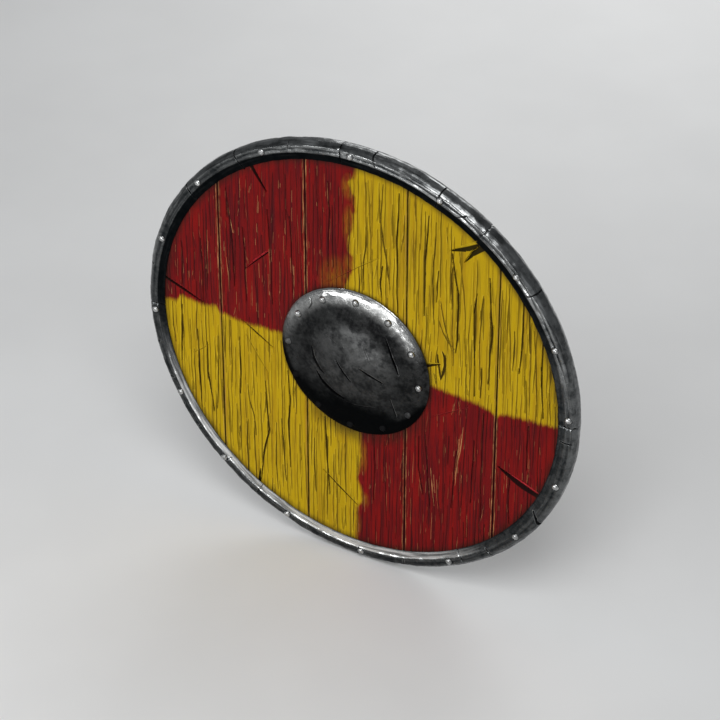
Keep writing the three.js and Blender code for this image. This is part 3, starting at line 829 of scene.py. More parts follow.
# %% Rim lengths
joint_reach = 1.8 * millimetre
joint_sink = 1.3 * millimetre
head_radius = 5.6 * millimetre
rim_dents = ((0.034, 2.0 * millimetre, "CLOUDS"), (0.012, 0.9 * millimetre, "VORONOI"))


def keep_inside(piece, radius, low_y, high_y):
    """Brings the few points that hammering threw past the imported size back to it."""
    places = points_of(piece)
    reach = np.hypot(places[:, 0], places[:, 2])
    shrink = np.minimum(1, radius / np.maximum(reach, millimetre))
    places[:, 0] *= shrink
    places[:, 2] *= shrink
    places[:, 1] = np.clip(places[:, 1], low_y, high_y)
    piece.data.vertices.foreach_set("co", places.ravel())
    piece.data.update()


def hammer(piece, size, strength, kind):
    dents = bpy.data.textures.new("dents_" + piece.name, kind)
    dents.noise_scale = size
    if kind == "CLOUDS":
        dents.noise_depth = 2
    beat = piece.modifiers.new("hammer", "DISPLACE")
    beat.texture = dents
    beat.texture_coords = "LOCAL"
    beat.direction = "NORMAL"
    beat.mid_level = 0.5
    beat.strength = strength
    apply_modifiers(piece)


def gap_to_rivets(places, nodes, radius):
    """Millimetres from each point to the edge of the nearest rivet head, 9 at most."""
    middles = [middle_of(node) for node in nodes]
    away = [np.hypot(places[:, 0] - middle.x, places[:, 2] - middle.z) for middle in middles]
    return np.minimum((np.min(away, axis=0) - radius) / millimetre, 9)


def from_ends(places, first, last):
    """How far each point lies from the nearer end of its length, measured round the rim."""
    angles = np.degrees(np.arctan2(places[:, 2], places[:, 0])) % 360
    away = np.minimum((angles - first) % 360, (last - angles) % 360)
    return np.radians(np.minimum(away, 360 - away)) * outer_radius


rim_rivet_nodes = [f"rim_rivet_{number}" for number in range(1, 17)]
rim_pieces = []
for number in range(1, 7):
    node = f"rim_segment_{number}"
    first, last = segment_span(node)
    steps = round((last - first) / spin_step)
    rim = spun(node + "_iron", rim_outline, first, last, steps, section_fineness)
    face_outwards(rim, lambda face: face.normal.dot(face.center * Vector((1, 0, 1))))
    for size, strength, kind in rim_dents:
        hammer(rim, size, strength, kind)
    keep_inside(rim, outer_radius, rim_low.y, rim_high.y)
    from_end = from_ends(points_of(rim), first, last)
    sink_by(rim, np.clip(1 - from_end / joint_reach, 0, 1), -joint_sink, "NORMAL")
    cut_count = 0
    for mark in rim_marks:
        if first < mark[0] < last or first < mark[0] + 360 < last:
            cut_count += mark_rim(rim, *mark) > 0
    places = points_of(rim)
    from_end = from_ends(places, first, last)
    _, mark_field = groove_field(places[:, 0], places[:, 2], [mark_groove(*mark) for mark in rim_marks])
    mark_gap = np.where(places[:, 1] < back_y - 2 * millimetre, mark_field["gap"], 6)
    keep_mask(rim, "mark_gap", np.minimum(mark_gap, from_end / millimetre - 0.9))
    keep_mask(rim, "rivet_gap", gap_to_rivets(places, rim_rivet_nodes, head_radius))
    thicken(rim, sheet_thickness)
    smooth(rim, 35)
    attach(rim, "root")
    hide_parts(node)
    rim_pieces.append(rim)
    print(rim.name, "from", round(first, 1), "to", round(last, 1), "marks", cut_count,
          "faces", len(rim.data.polygons))

# %% [markdown]
# The boss is one dished plate. It is spun from a drawn profile as well: a smith raises it from
# a disc and rolls its edge down over the boards. The roll, the flatter ring inside it and the low
# dome in the middle all show in the profile. Old cuts in it are grooves in the same gap field.

# %% Boss
boss_sheet = 1.8 * millimetre
boss_shares = [
    (1, 0.083), (0.985, 0.155), (0.955, 0.235), (0.92, 0.305), (0.88, 0.36), (0.83, 0.40),
    (0.77, 0.43), (0.70, 0.465), (0.62, 0.51), (0.55, 0.57), (0.50, 0.63), (0.455, 0.70),
    (0.38, 0.79), (0.26, 0.895), (0.13, 0.97)]
boss_steps = 400
boss_fineness = 6
boss_grooves = [
    groove(0.7, (-0.186, 0.034, 0.3, 0.3), (-0.171, -0.012, 1.8, 4.0), (-0.146, -0.048, 1.8, 4.4),
           (-0.119, -0.068, 0.4, 0.8), tone=0.9),
    groove(0.9, (-0.160, -0.078, 0.4, 0.8), (-0.130, -0.115, 1.8, 5.0), (-0.085, -0.148, 1.8, 5.0),
           (-0.030, -0.170, 0.5, 1.4)),
    groove(0.5, (-0.056, 0.024, 0.4, 0.7), (-0.022, -0.018, 1.3, 2.4), (0.013, -0.062, 0.8, 1.3)),
    groove(0.4, (0.050, 0.020, 0.4, 0.7), (0.093, 0.001, 1.1, 2.4), (0.150, -0.026, 0.7, 1.0)),
    groove(0.5, (0.156, 0.186, 0.4, 0.7), (0.182, 0.118, 1.2, 2.2), (0.205, 0.066, 1.4, 2.4),
           (0.217, 0.026, 0.6, 0.7)),
    groove(0.25, (0.180, -0.105, 0.4, 0.4), (0.205, -0.185, 1.2, 1.2), tone=0.8),
    groove(0.25, (-0.080, -0.178, 0.3, 0.3), (0.020, -0.190, 0.8, 0.9), (0.110, -0.172, 0.3, 0.3),
           tone=0.7),
    groove(0.3, (-0.200, 0.262, 0.5, 0.5), (-0.190, 0.235, 1.6, 1.6), (-0.205, 0.205, 0.4, 0.4), tone=0.8),
    groove(0.2, (0.060, 0.130, 0.3, 0.3), (0.090, 0.070, 0.7, 0.7), tone=0.5),
    groove(0.2, (-0.110, 0.120, 0.3, 0.3), (-0.060, 0.100, 0.7, 0.7), tone=0.4),
]
boss_groove_depth = 3.0 * millimetre
least_scratch_half = 1.3 * millimetre
boss_edge_lift = 1.9 * millimetre
boss_middle_share = 0.02
boss_dents = ((0.036, 1.6 * millimetre, "CLOUDS"), (0.013, 0.5 * millimetre, "VORONOI"))
boss_rivet_nodes = [f"boss_rove_{number}" for number in range(1, 13)]

outline = [(boss_radius * r, face_y - boss_height * h) for r, h in boss_shares]
outline.append((boss_radius * boss_middle_share, boss_low.y))
boss = spun("boss_iron_plate", outline, 0, 360, boss_steps, boss_fineness)
begin_edit(boss)
bpy.ops.mesh.select_all(action="SELECT")
bpy.ops.mesh.remove_doubles(threshold=millimetre / 100)
bpy.ops.mesh.select_all(action="DESELECT")
pick_points(boss, lambda co: math.hypot(co.x, co.z) < boss_radius * boss_middle_share * 1.05)
bpy.ops.mesh.edge_face_add()
end_edit()
face_outwards(boss, lambda face: -face.normal.y)
for size, strength, kind in boss_dents:
    hammer(boss, size, strength, kind)
keep_inside(boss, boss_radius, boss_low.y, face_y - boss_edge_lift)
places = points_of(boss)
scratched, scratch_field = groove_field(places[:, 0], places[:, 2], boss_grooves,
                                        least_half=least_scratch_half)
keep_field(boss, "mark", scratch_field)
keep_mask(boss, "rivet_gap", gap_to_rivets(places, boss_rivet_nodes, head_radius))
sink_by(boss, scratched, boss_groove_depth)
thicken(boss, boss_sheet)
smooth(boss, 40)
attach(boss, "root")
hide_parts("boss")
print("boss faces", len(boss.data.polygons), "box", [round(v, 4) for v in boss.dimensions])

# %% [markdown]
# A rivet's head is half of a flattened ball with a short skirt, so that it sits tight on hammered
# iron. Its shank goes through the boards, and the smith has clenched the far end into a low
# button. One is modelled and copied round the rim. Those of the boss are modelled one by one, each
# as long as it needs to reach its rove, and their heads lean with the slope of the plate.

# %% Rivets
head_height = 3.4 * millimetre
head_skirt = 0.9 * millimetre
shank_radius = 2.0 * millimetre
clench_radius = 3.4 * millimetre
clench_height = 1.6 * millimetre
rivet_sink = 0.3 * millimetre
clench_spare = 0.5 * millimetre
rim_clench_reach = 0.6 * millimetre
rivet_seed = 5


def half_ball(name, radius, height, towards):
    """Half of a flattened ball on the origin, its flat side on the plane y = 0."""
    bpy.ops.object.select_all(action="DESELECT")
    bpy.ops.mesh.primitive_uv_sphere_add(segments=24, ring_count=14, radius=1, rotation=(math.pi / 2, 0, 0))
    ball = named(name)
    settle(ball)
    ball.scale = (radius, height, radius)
    settle(ball)
    begin_edit(ball)
    bpy.ops.mesh.select_all(action="SELECT")
    bpy.ops.mesh.bisect(plane_co=(0, 0, 0), plane_no=(0, towards, 0), use_fill=True, clear_inner=True)
    end_edit()
    return ball


def model_rivet(shank_length):
    """A rivet whose head points along -Y, with its seat at the origin."""
    head = half_ball("rivet_pattern", head_radius, head_height, -1)
    begin_edit(head, "FACE")
    select_faces(head, lambda face: face.normal.y > 0.99)
    bpy.ops.mesh.extrude_region_move(TRANSFORM_OT_translate={"value": (0, head_skirt, 0)})
    bpy.ops.mesh.inset(thickness=head_radius - shank_radius)
    bpy.ops.mesh.extrude_region_move(TRANSFORM_OT_translate={"value": (0, shank_length - head_skirt, 0)})
    end_edit()
    clench = half_ball("clench", clench_radius, clench_height, 1)
    clench.location.y = shank_length
    settle(clench)
    bpy.ops.object.select_all(action="DESELECT")
    clench.select_set(True)
    head.select_set(True)
    bpy.context.view_layer.objects.active = head
    bpy.ops.object.join()
    hammer(head, 0.004, 0.9 * millimetre, "CLOUDS")
    return head


def copied(pattern, name, place, turn, lean=0.0, lean_angle=0.0):
    """A copy with its own mesh, turned about its own axis and moved. Its head alone leans."""
    begin(pattern)
    bpy.ops.object.duplicate()
    made = named(name)
    made.rotation_euler = (0, turn, 0)
    settle(made)
    leaned = Matrix.Rotation(lean, 3, Vector((math.sin(lean_angle), 0, -math.cos(lean_angle))))
    for point in made.data.vertices:
        if point.co.y < 1.5 * head_skirt:
            point.co = leaned @ point.co
    made.location = place
    settle(made)
    return made


chance = np.random.default_rng(rivet_seed)
rim_seat = face_y - rim_front_crest + rivet_sink
rim_pattern = model_rivet(rim_high.y - rim_seat + rim_clench_reach)
rivets = []
for number in range(1, 17):
    node = f"rim_rivet_{number}"
    middle = middle_of(node)
    rivet = copied(rim_pattern, node + "_iron", (middle.x, rim_seat, middle.z), chance.uniform(0, 6))
    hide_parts(node)
    rivets.append(rivet)
bpy.data.objects.remove(rim_pattern)

boss_rivet_radius = math.hypot(middle_of("boss_rove_4").x, middle_of("boss_rove_4").z)
shares = [r for r, h in boss_shares][::-1]
heights = [h for r, h in boss_shares][::-1]
rivet_share = boss_rivet_radius / boss_radius
seat_height = boss_height * np.interp(rivet_share, shares, heights)
run = 0.06
fall = np.interp(rivet_share - run, shares, heights) - np.interp(rivet_share + run, shares, heights)
slope = fall * boss_height / (2 * run * boss_radius)
boss_seat = face_y - seat_height + rivet_sink
for number in range(1, 13):
    middle = middle_of(f"boss_rove_{number}")
    far_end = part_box(f"boss_rivet_{number}")[1].y
    boss_pattern = model_rivet(far_end - clench_height - clench_spare - boss_seat)
    angle = math.atan2(middle.z, middle.x)
    place = (middle.x, boss_seat, middle.z)
    rivet = copied(boss_pattern, f"boss_rivet_{number}_iron", place, chance.uniform(0, 6),
                   math.atan(slope), angle)
    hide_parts(f"boss_rivet_{number}")
    rivets.append(rivet)
    bpy.data.objects.remove(boss_pattern)
for rivet in rivets:
    smooth(rivet, 50)
    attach(rivet, "root")
print("rivets", len(rivets), "boss slope", round(math.degrees(math.atan(slope)), 1))

# %% [markdown]
# Nails hold the battens and the arms of the handle from behind. Each has a flat, slightly domed
# head that is driven just below the wood, and a square-cut point would be hidden in the boards,
# so the shank simply tapers. One nail is modelled and copied.

# %% Nails
nail_head_radius = 4.6 * millimetre
nail_head_thickness = 1.2 * millimetre
nail_sink = 0.3 * millimetre
nail_shank_radius = 1.5 * millimetre
nail_length = 22 * millimetre
nail_point = 0.3
cross_nail_xs = [0.0442, 0.1274, 0.2055, 0.2683]
handle_nail_xs = [0.1664, 0.2133, 0.2783]
batten_z = middle_of("upper_batten").z


def model_nail():
    """A nail with its head towards +Y and the head's seat at the origin."""
    nail = half_ball("nail_pattern", nail_head_radius, nail_head_thickness, 1)
    begin_edit(nail, "FACE")
    select_faces(nail, lambda face: face.normal.y < -0.99)
    bpy.ops.mesh.inset(thickness=nail_head_radius - nail_shank_radius)
    bpy.ops.mesh.extrude_region_move(TRANSFORM_OT_translate={"value": (0, -nail_length, 0)})
    bpy.ops.transform.resize(value=(nail_point, 1, nail_point), center_override=(0, -nail_length, 0))
    end_edit()
    hammer(nail, 0.003, 0.5 * millimetre, "CLOUDS")
    return nail


nail_places = [(side * x, z) for z in (batten_z, -batten_z) for x in cross_nail_xs for side in (-1, 1)]
nail_places += [(side * x, 0) for x in handle_nail_xs for side in (-1, 1)]
nail_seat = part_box("upper_batten")[1].y - nail_sink - nail_head_thickness
nail_pattern = model_nail()
nails = []
for number, (x, z) in enumerate(nail_places, 1):
    nail = copied(nail_pattern, f"nail_{number}", (x, nail_seat, z), chance.uniform(0, 6))
    smooth(nail, 50)
    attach(nail, "root")
    nails.append(nail)
bpy.data.objects.remove(nail_pattern)
print("nails", len(nails), "faces each", len(nails[0].data.polygons))

# %% [markdown]
# The grip is wound with a strip of leather, each turn lapping over the one before. Its side view
# is a row of low teeth, one for each turn. They are spun round the grip, and every point is then
# moved along by its share of a turn, so that the rings join into one winding. The grip is oval,
# so the upper and lower halves are moved apart before the leather gets its thickness.

# %% Leather strip
strip_width = 10.5 * millimetre
strip_steps = 96
strip_low = 1.5 * millimetre
strip_rise = 0.7 * millimetre
strip_leather = 1.2 * millimetre
tooth_shares = [
    (0.0, 0.0), (0.05, 0.70), (0.13, 1.0), (0.35, 0.95), (0.60, 0.75), (0.85, 0.40), (0.97, 0.12)]
wrap_low, wrap_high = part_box("grip_wrap")
wrap_allowance = 2.3 * millimetre
grip_round = wrap_high.y - wrap_allowance
grip_flat = wrap_high.z - wrap_high.y


def strip_line():
    """The side view of the winding: a tooth for each turn, from one turn before the grip to one past it."""
    places = []
    turns = math.ceil((wrap_high.x - wrap_low.x) / strip_width) + 2
    for turn in range(turns):
        for along, rise in tooth_shares:
            x = wrap_low.x - strip_width + (turn + along) * strip_width
            places.append(Vector((x, grip_round + strip_low + rise * strip_rise, 0)))
    return places


line_places = strip_line()
strip = draw_line("grip_strip", line_places)
bpy.ops.mesh.spin(steps=strip_steps, angle=2 * math.pi, center=(0, 0, 0), axis=(1, 0, 0))
end_edit()
places = points_of(strip)
turned = (np.arange(len(places)) // len(line_places)) / strip_steps
places[:, 0] -= turned * strip_width
places[:, 2] += grip_flat * np.clip(places[:, 2] / (0.35 * grip_round), -1, 1)
strip.data.vertices.foreach_set("co", places.ravel())
strip.data.update()
begin_edit(strip)
bpy.ops.mesh.select_all(action="SELECT")
bpy.ops.mesh.remove_doubles(threshold=millimetre / 100)
for end, outwards in ((wrap_low.x, -1), (wrap_high.x, 1)):
    bpy.ops.mesh.select_all(action="SELECT")
    bpy.ops.mesh.bisect(plane_co=(end, 0, 0), plane_no=(outwards, 0, 0), clear_outer=True)
end_edit()
face_outwards(strip, lambda face: face.normal.dot(face.center * Vector((0, 1, 1))))
places = points_of(strip)
round_share = np.arctan2(places[:, 2], places[:, 1]) / (2 * math.pi)
lap = np.mod((places[:, 0] - wrap_low.x) / strip_width + round_share, 1)
keep_mask(strip, "lap", np.abs(lap - 0.5) * 2)
thicken(strip, strip_leather)
smooth(strip, 40)
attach(strip, "root")
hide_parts("grip_wrap")
print("strip faces", len(strip.data.polygons), "size", [round(v, 4) for v in strip.dimensions])

# %% [markdown]
# Materials are nodes that read Object coordinates, in metres. Each material or group first sets
# tree, the set of nodes that the helpers below fill. They add a node with its values or links, and
# do arithmetic, stretched noise, smooth steps, mixing and the gap to a line.

# %% Helpers for materials
def give(socket, value):
    """Links a socket to another one, or sets its value."""
    if isinstance(value, bpy.types.NodeSocket):
        tree.links.new(value, socket)
    else:
        socket.default_value = value


def add(kind, values=None, **settings):
    node = tree.nodes.new(kind)
    for name, value in settings.items():
        setattr(node, name, value)
    for name, value in (values or {}).items():
        give(node.inputs[name], value)
    return node


def sums(operation, first, second=0.0, third=0.0, clamp=False):
    values = {0: first, 1: second, 2: third}
    return add("ShaderNodeMath", values, operation=operation, use_clamp=clamp).outputs[0]


def times(first, second):
    return sums("MULTIPLY", first, second)


def plus(first, second, clamp=False):
    return sums("ADD", first, second, clamp=clamp)


def minus(first, second, clamp=False):
    return sums("SUBTRACT", first, second, clamp=clamp)


def most(first, second):
    return sums("MAXIMUM", first, second)


def unsigned(value):
    return sums("ABSOLUTE", value)


def stretched(vector, scale):
    return add("ShaderNodeMapping", {"Vector": vector, "Scale": scale}).outputs[0]


def noise_of(vector, scale, detail=3.0, roughness=0.5, distortion=0.0):
    return add("ShaderNodeTexNoise", {"Vector": vector, "Scale": scale, "Detail": detail,
                                      "Roughness": roughness, "Distortion": distortion}).outputs[0]


def between(value, low, high, to_low=0.0, to_high=1.0):
    ends = {"Value": value, "From Min": low, "From Max": high, "To Min": to_low, "To Max": to_high}
    return add("ShaderNodeMapRange", ends, interpolation_type="SMOOTHSTEP").outputs[0]


def mixed(share, first, second):
    node = add("ShaderNodeMix", data_type="RGBA")
    for number, value in ((0, share), (6, first), (7, second)):
        give(node.inputs[number], (*value, 1) if isinstance(value, tuple) else value)
    return node.outputs[2]


def vector_of(x, y, z):
    return add("ShaderNodeCombineXYZ", {"X": x, "Y": y, "Z": z}).outputs[0]


def mask_of(name):
    return add("ShaderNodeAttribute", attribute_name=name, attribute_type="GEOMETRY").outputs["Fac"]


def line_gap(name):
    """Millimetres past the edge of a kept line: from its middle line close by, else from its gap."""
    far_gap = mask_of(name + "_gap")
    near_gap = minus(unsigned(mask_of(name + "_offset")), mask_of(name + "_half"))
    close = between(far_gap, 1.25, 1.0)
    return sums("MULTIPLY_ADD", minus(near_gap, far_gap), close, far_gap)


def line_side(name):
    """How far a place lies to the left of a kept line's middle, in half widths: 1 to -1."""
    half = most(mask_of(name + "_half"), 0.5)
    return sums("DIVIDE", mask_of(name + "_offset"), half)


def axes_of(vector):
    """The three parts of a place, and its distance from the shield's axis."""
    axes = add("ShaderNodeSeparateXYZ", {"Vector": vector}).outputs
    flat = vector_of(axes["X"], 0.0, axes["Z"])
    away = add("ShaderNodeVectorMath", {0: flat}, operation="LENGTH").outputs["Value"]
    return axes["X"], axes["Y"], axes["Z"], away


def new_group(name, inputs, outputs):
    group = bpy.data.node_groups.new(name, "ShaderNodeTree")
    for label, kind in inputs:
        group.interface.new_socket(label, in_out="INPUT", socket_type=kind)
    for label, kind in outputs:
        group.interface.new_socket(label, in_out="OUTPUT", socket_type=kind)
    return group, group.nodes.new("NodeGroupInput").outputs, group.nodes.new("NodeGroupOutput").inputs


def new_material(name):
    material = bpy.data.materials.new(name)
    material.use_nodes = True
    nodes = material.node_tree.nodes
    place = nodes.new("ShaderNodeTexCoord").outputs["Object"]
    return material, material.node_tree, nodes["Principled BSDF"].inputs, place


def bumped(height, distance, strength=1.0):
    return add("ShaderNodeBump", {"Height": height, "Distance": distance, "Strength": strength}).outputs[0]


def dress(piece, material):
    piece.data.materials.clear()
    piece.data.materials.append(material)

# %% [markdown]
# Wood grain is used twice: on the bare backs of the boards, and on the battens. The group turns
# a place into the colour of old oiled wood and a height for its ridges. Its grain runs along the
# second axis of the vector that it is given.

# %% Group: wood grain
tree, given, put = new_group("Wood grain", [("Vector", "NodeSocketVector")],
                             [("Color", "NodeSocketColor"), ("Height", "NodeSocketFloat")])
bend = noise_of(stretched(given["Vector"], (14, 4, 14)), 1.0, 2.0)
push = vector_of(times(bend, 0.03), 0.0, 0.0)
shifted = add("ShaderNodeVectorMath", {0: given["Vector"], 1: push}, operation="ADD").outputs[0]
rings = noise_of(stretched(shifted, (150, 5, 150)), 1.0, 4.0, 0.6)
fibres = noise_of(stretched(shifted, (900, 22, 900)), 1.0, 3.0, 0.6)
patches = noise_of(given["Vector"], 14.0, 3.0)
tone = mixed(between(rings, 0.32, 0.68), (0.085, 0.046, 0.022), (0.235, 0.140, 0.068))
tone = mixed(between(fibres, 0.35, 0.62, 0.55, 0.0), tone, (0.045, 0.024, 0.012))
tone = mixed(between(patches, 0.35, 0.7, 0.0, 0.5), tone, (0.135, 0.098, 0.062))
give(put["Color"], tone)
ridges = plus(times(rings, 0.5), times(fibres, 0.5))
give(put["Height"], ridges)
wood_grain = tree
print("wood grain nodes:", len(tree.nodes))

# %% [markdown]
# Worn iron is used on the rim, the boss, the rivets and the nails. The group mottles a dark and
# a bright tone with stains and fine scratches, and gives roughness and height. Wear lifts it
# towards the bright tone, and the lift is broken up by the same stains.

# %% Group: worn iron
tree, given, put = new_group(
    "Worn iron",
    [("Vector", "NodeSocketVector"), ("Dark", "NodeSocketColor"), ("Bright", "NodeSocketColor"),
     ("Wear", "NodeSocketFloat"), ("Mottle", "NodeSocketFloat")],
    [("Color", "NodeSocketColor"), ("Roughness", "NodeSocketFloat"), ("Height", "NodeSocketFloat")])
clouds = noise_of(given["Vector"], 34.0, 5.0, 0.62, 0.4)
spots = noise_of(given["Vector"], 150.0, 4.0, 0.65)
streaks = noise_of(stretched(given["Vector"], (60, 60, 260)), 1.0, 4.0, 0.7, 1.2)
blend = plus(times(clouds, 0.55), times(spots, 0.45))
stain = between(blend, 0.38, 0.62)
lifted = times(given["Wear"], between(blend, 0.34, 0.58, 0.50, 1.0))
scuffs = between(streaks, 0.58, 0.75, 0.0, 0.4)
share = times(plus(stain, scuffs), given["Mottle"])
share = plus(share, lifted, clamp=True)
tone = mixed(share, given["Dark"], given["Bright"])
give(put["Color"], tone)
rough = between(clouds, 0.3, 0.7, 0.36, 0.22)
rough = plus(rough, between(spots, 0.4, 0.7, 0.05, -0.05))
give(put["Roughness"], rough)
height = plus(times(spots, 0.7), times(streaks, 0.3))
give(put["Height"], height)
worn_iron = tree
# The shine of the places that are painted dark as shade.
shade_shine = 0.004
print("worn iron nodes:", len(tree.nodes))


# Its wear input also carries painted highlight from the rim and the boss.
def iron_of(dark, bright, wear_and_highlight, mottle):
    values = {"Vector": place, "Dark": (*dark, 1), "Bright": (*bright, 1), "Wear": wear_and_highlight, "Mottle": mottle}
    return add("ShaderNodeGroup", values, node_tree=worn_iron).outputs

# %% [markdown]
# The painted boards carry four quarters, brushed on by hand: red above left and below right,
# yellow above right and below left. Each border is a straight line whose few measured wanders are
# the corners of a curve, and noise frays it into brush marks. The edge is soft, so that the red
# shows through thin yellow as orange. Cracks, seams, streaks and cuts are drawn from the gaps that
# the planks carry: a gap below zero is inside the line.

# %% Painted boards
red_paint = (0.185, 0.0052, 0.0044)
red_shade = (0.128, 0.0040, 0.0046)
yellow_paint = (0.420, 0.275, 0.0045)
yellow_shade = (0.310, 0.190, 0.0040)
yellow_stain = (0.270, 0.135, 0.0050)
bare_tan = (0.480, 0.235, 0.095)
crack_in_red = (0.0200, 0.0040, 0.0050)
crack_in_yellow = (0.0270, 0.0150, 0.0022)
seam_dark = (0.0045, 0.0035, 0.0035)
grime_and_shade_brown = (0.020, 0.010, 0.006)
highlight_on_yellow = (0.66, 0.47, 0.035)
scraped_red_with_highlight = (0.52, 0.032, 0.040)
scraped_yellow_with_highlight = (0.66, 0.46, 0.020)
cut_shade_red = (0.0060, 0.0015, 0.0015)
cut_shade_yellow = (0.0050, 0.0045, 0.0015)
shade_brown = (0.014, 0.008, 0.005)
shade_under_rim = (0.0035, 0.0028, 0.0022)
border_reach = 0.4
board_material, tree, surface, place = new_material("painted_board")
across, deep, upwards, from_middle = axes_of(place)


def wandering_border(along, corners, reach):
    """The border's sideways place, from a few measured (along, sideways) corners, as a curve."""
    share = sums("MULTIPLY_ADD", along, 0.5 / outer_radius, 0.5)
    curve = add("ShaderNodeFloatCurve", {"Value": share})
    line = curve.mapping.curves[0]
    line.points[0].location = (0, 0.5 + corners[0][1] / reach)
    line.points[1].location = (1, 0.5 + corners[-1][1] / reach)
    for at, sideways in corners[1:-1]:
        line.points.new(0.5 + at / 2, 0.5 + sideways / reach)
    for point in line.points:
        point.handle_type = "VECTOR"
    curve.mapping.update()
    return times(minus(curve.outputs[0], 0.5), reach * outer_radius)


upright_border = wandering_border(upwards, [
    (-1, 0.0), (-0.86, 0.004), (-0.80, 0.004), (-0.75, 0.006), (-0.70, 0.034), (-0.66, 0.030),
    (-0.60, 0.008), (-0.55, 0.014), (-0.50, 0.024), (-0.42, 0.024), (-0.34, 0.022), (0.34, -0.050),
    (0.40, -0.030), (0.43, -0.018), (0.455, -0.010), (0.50, -0.012), (0.520, -0.028), (0.59, -0.030),
    (0.63, -0.014), (0.70, -0.008), (0.725, -0.002), (0.785, -0.002), (0.80, -0.018), (0.845, -0.034),
    (0.870, -0.006), (0.89, 0.0), (1, 0.0)], border_reach)
level_border = wandering_border(across, [
    (-1, 0.006), (-0.865, 0.008), (-0.845, 0.044), (-0.77, 0.034), (-0.73, 0.032), (-0.675, 0.044),
    (-0.668, 0.056), (-0.655, 0.028), (-0.60, 0.014), (-0.50, 0.008), (-0.45, 0.020), (-0.40, 0.012),
    (-0.36, 0.020), (0.35, 0.002), (0.46, -0.006), (0.56, -0.012), (0.62, -0.028), (0.648, -0.052),
    (0.665, -0.026), (0.72, -0.018), (0.78, -0.010), (0.86, -0.008), (0.92, 0.0), (1, 0.0)], border_reach)
fray_wide = noise_of(stretched(place, (110, 1, 34)), 1.0, 4.0, 0.6)
fray_fine = noise_of(stretched(place, (560, 1, 60)), 1.0, 3.0, 0.6)
ragged = times(minus(fray_wide, 0.5), 0.008)
ragged = plus(ragged, times(minus(fray_fine, 0.5), 0.014))
right_side = between(plus(minus(across, upright_border), ragged), -0.0060, 0.0050)
upper_side = between(plus(minus(upwards, level_border), ragged), -0.0050, 0.0060)
same = times(right_side, upper_side)
other = times(minus(1.0, right_side), minus(1.0, upper_side))
yellow_here = plus(same, other, clamp=True)
print("nodes for the quarters:", len(tree.nodes))

# %% [markdown]
# Some yellow was dragged over its border as a thin film. Each film is a soft oval at a measured
# place, broken up by the same brush noise, and it only half covers what is below it.

# %% Thin paint at the borders
paint_films = [
    (-0.080, 0.370, 0.090, 0.110, 0.26), (-0.026, 0.640, 0.034, 0.100, 0.36),
    (-0.030, 0.820, 0.034, 0.060, 0.34), (-0.020, 0.460, 0.040, 0.060, 0.30),
    (0.036, -0.470, 0.020, 0.090, 0.30), (0.045, -0.695, 0.020, 0.040, 0.30),
    (0.014, -0.830, 0.014, 0.060, 0.25),
]


def oval(x, z, reach_x, reach_z):
    """One inside an oval on the face and zero outside it, with a soft border."""
    right = times(minus(across, x * outer_radius), 1 / (reach_x * outer_radius))
    over = times(minus(upwards, z * outer_radius), 1 / (reach_z * outer_radius))
    away = plus(times(right, right), times(over, over))
    return between(away, 1.5, -0.3)


film = 0.0
for x, z, reach_x, reach_z, cover in paint_films:
    film = most(film, times(oval(x, z, reach_x, reach_z), cover))
broken = between(plus(times(fray_wide, 0.4), times(fray_fine, 0.6)), 0.36, 0.60, 0.15, 1.0)
film = times(film, broken)
yellow_here = most(yellow_here, film)
print("films of thin paint:", len(paint_films))

# %% [markdown]
# The paint itself is never even. Broad bands and fine stripes follow the grain beneath it, and the
# yellow has brown stains. Thin dark hairlines run through both colours.

# %% Paint over grain
patchy = noise_of(stretched(place, (26, 1, 11)), 1.0, 4.0, 0.6)
bands = noise_of(stretched(place, (95, 1, 4)), 1.0, 3.0, 0.55, 0.1)
stripes = noise_of(stretched(place, (260, 1, 7)), 1.0, 4.0, 0.6, 0.12)
fine_stripes = noise_of(stretched(place, (680, 1, 13)), 1.0, 3.0, 0.6, 0.1)
red = mixed(between(patchy, 0.36, 0.68), red_paint, red_shade)
red = mixed(between(bands, 0.56, 0.38, 0.0, 0.35), red, (0.060, 0.0040, 0.0070))
red = mixed(between(stripes, 0.50, 0.36, 0.0, 0.62), red, (0.036, 0.0045, 0.0075))
red = mixed(between(fine_stripes, 0.60, 0.72, 0.0, 0.30), red, (0.200, 0.030, 0.018))
yellow = mixed(between(patchy, 0.46, 0.74, 0.0, 0.8), yellow_paint, yellow_shade)
yellow = mixed(between(bands, 0.50, 0.34, 0.0, 0.40), yellow, yellow_stain)
yellow = mixed(between(stripes, 0.48, 0.34, 0.0, 0.55), yellow, (0.150, 0.090, 0.006))
yellow = mixed(between(fine_stripes, 0.62, 0.74, 0.0, 0.30), yellow, (0.36, 0.21, 0.030))
paint = mixed(yellow_here, red, yellow)
print("nodes with the paint:", len(tree.nodes))

# %% [markdown]
# Streaks of bare wood come first, then a darkening beside the cracks and seams, painted shade with
# some grime, then the cracks and seams themselves. A crack in yellow has a painted highlight, a
# lighter line along its right side. A seam has a worn tan line along both of its edges, where the
# planks' corners have lost their paint.

# %% Streaks, cracks and seams
crack_gap, crack_tone = line_gap("crack"), mask_of("crack_tone")
streak_gap, streak_tone = line_gap("streak"), mask_of("streak_tone")
seam_gap = mask_of("seam_gap")
flaking = noise_of(stretched(place, (60, 1, 16)), 1.0, 4.0, 0.65)
flakes = noise_of(stretched(place, (420, 1, 42)), 1.0, 3.0, 0.6)
tan = mixed(between(fine_stripes, 0.40, 0.60), (0.20, 0.075, 0.030), bare_tan)
tan_over_yellow = minus(1.0, times(yellow_here, 0.62))
streak = times(between(streak_gap, 0.25, -0.25), streak_tone)
streak = times(streak, between(flakes, 0.36, 0.50, 0.35, 1.0))
seam_waver = times(minus(flaking, 0.5), 5.0)
seam_line = unsigned(minus(plus(seam_gap, seam_waver), 2.5))
seam_tan = times(between(seam_line, 1.3, 0.4), between(flakes, 0.40, 0.54, 0.15, 0.95))
seam_tan = times(seam_tan, between(stripes, 0.36, 0.50, 0.45, 1.0))
bare = times(most(streak, seam_tan), tan_over_yellow)
colour = mixed(bare, paint, tan)
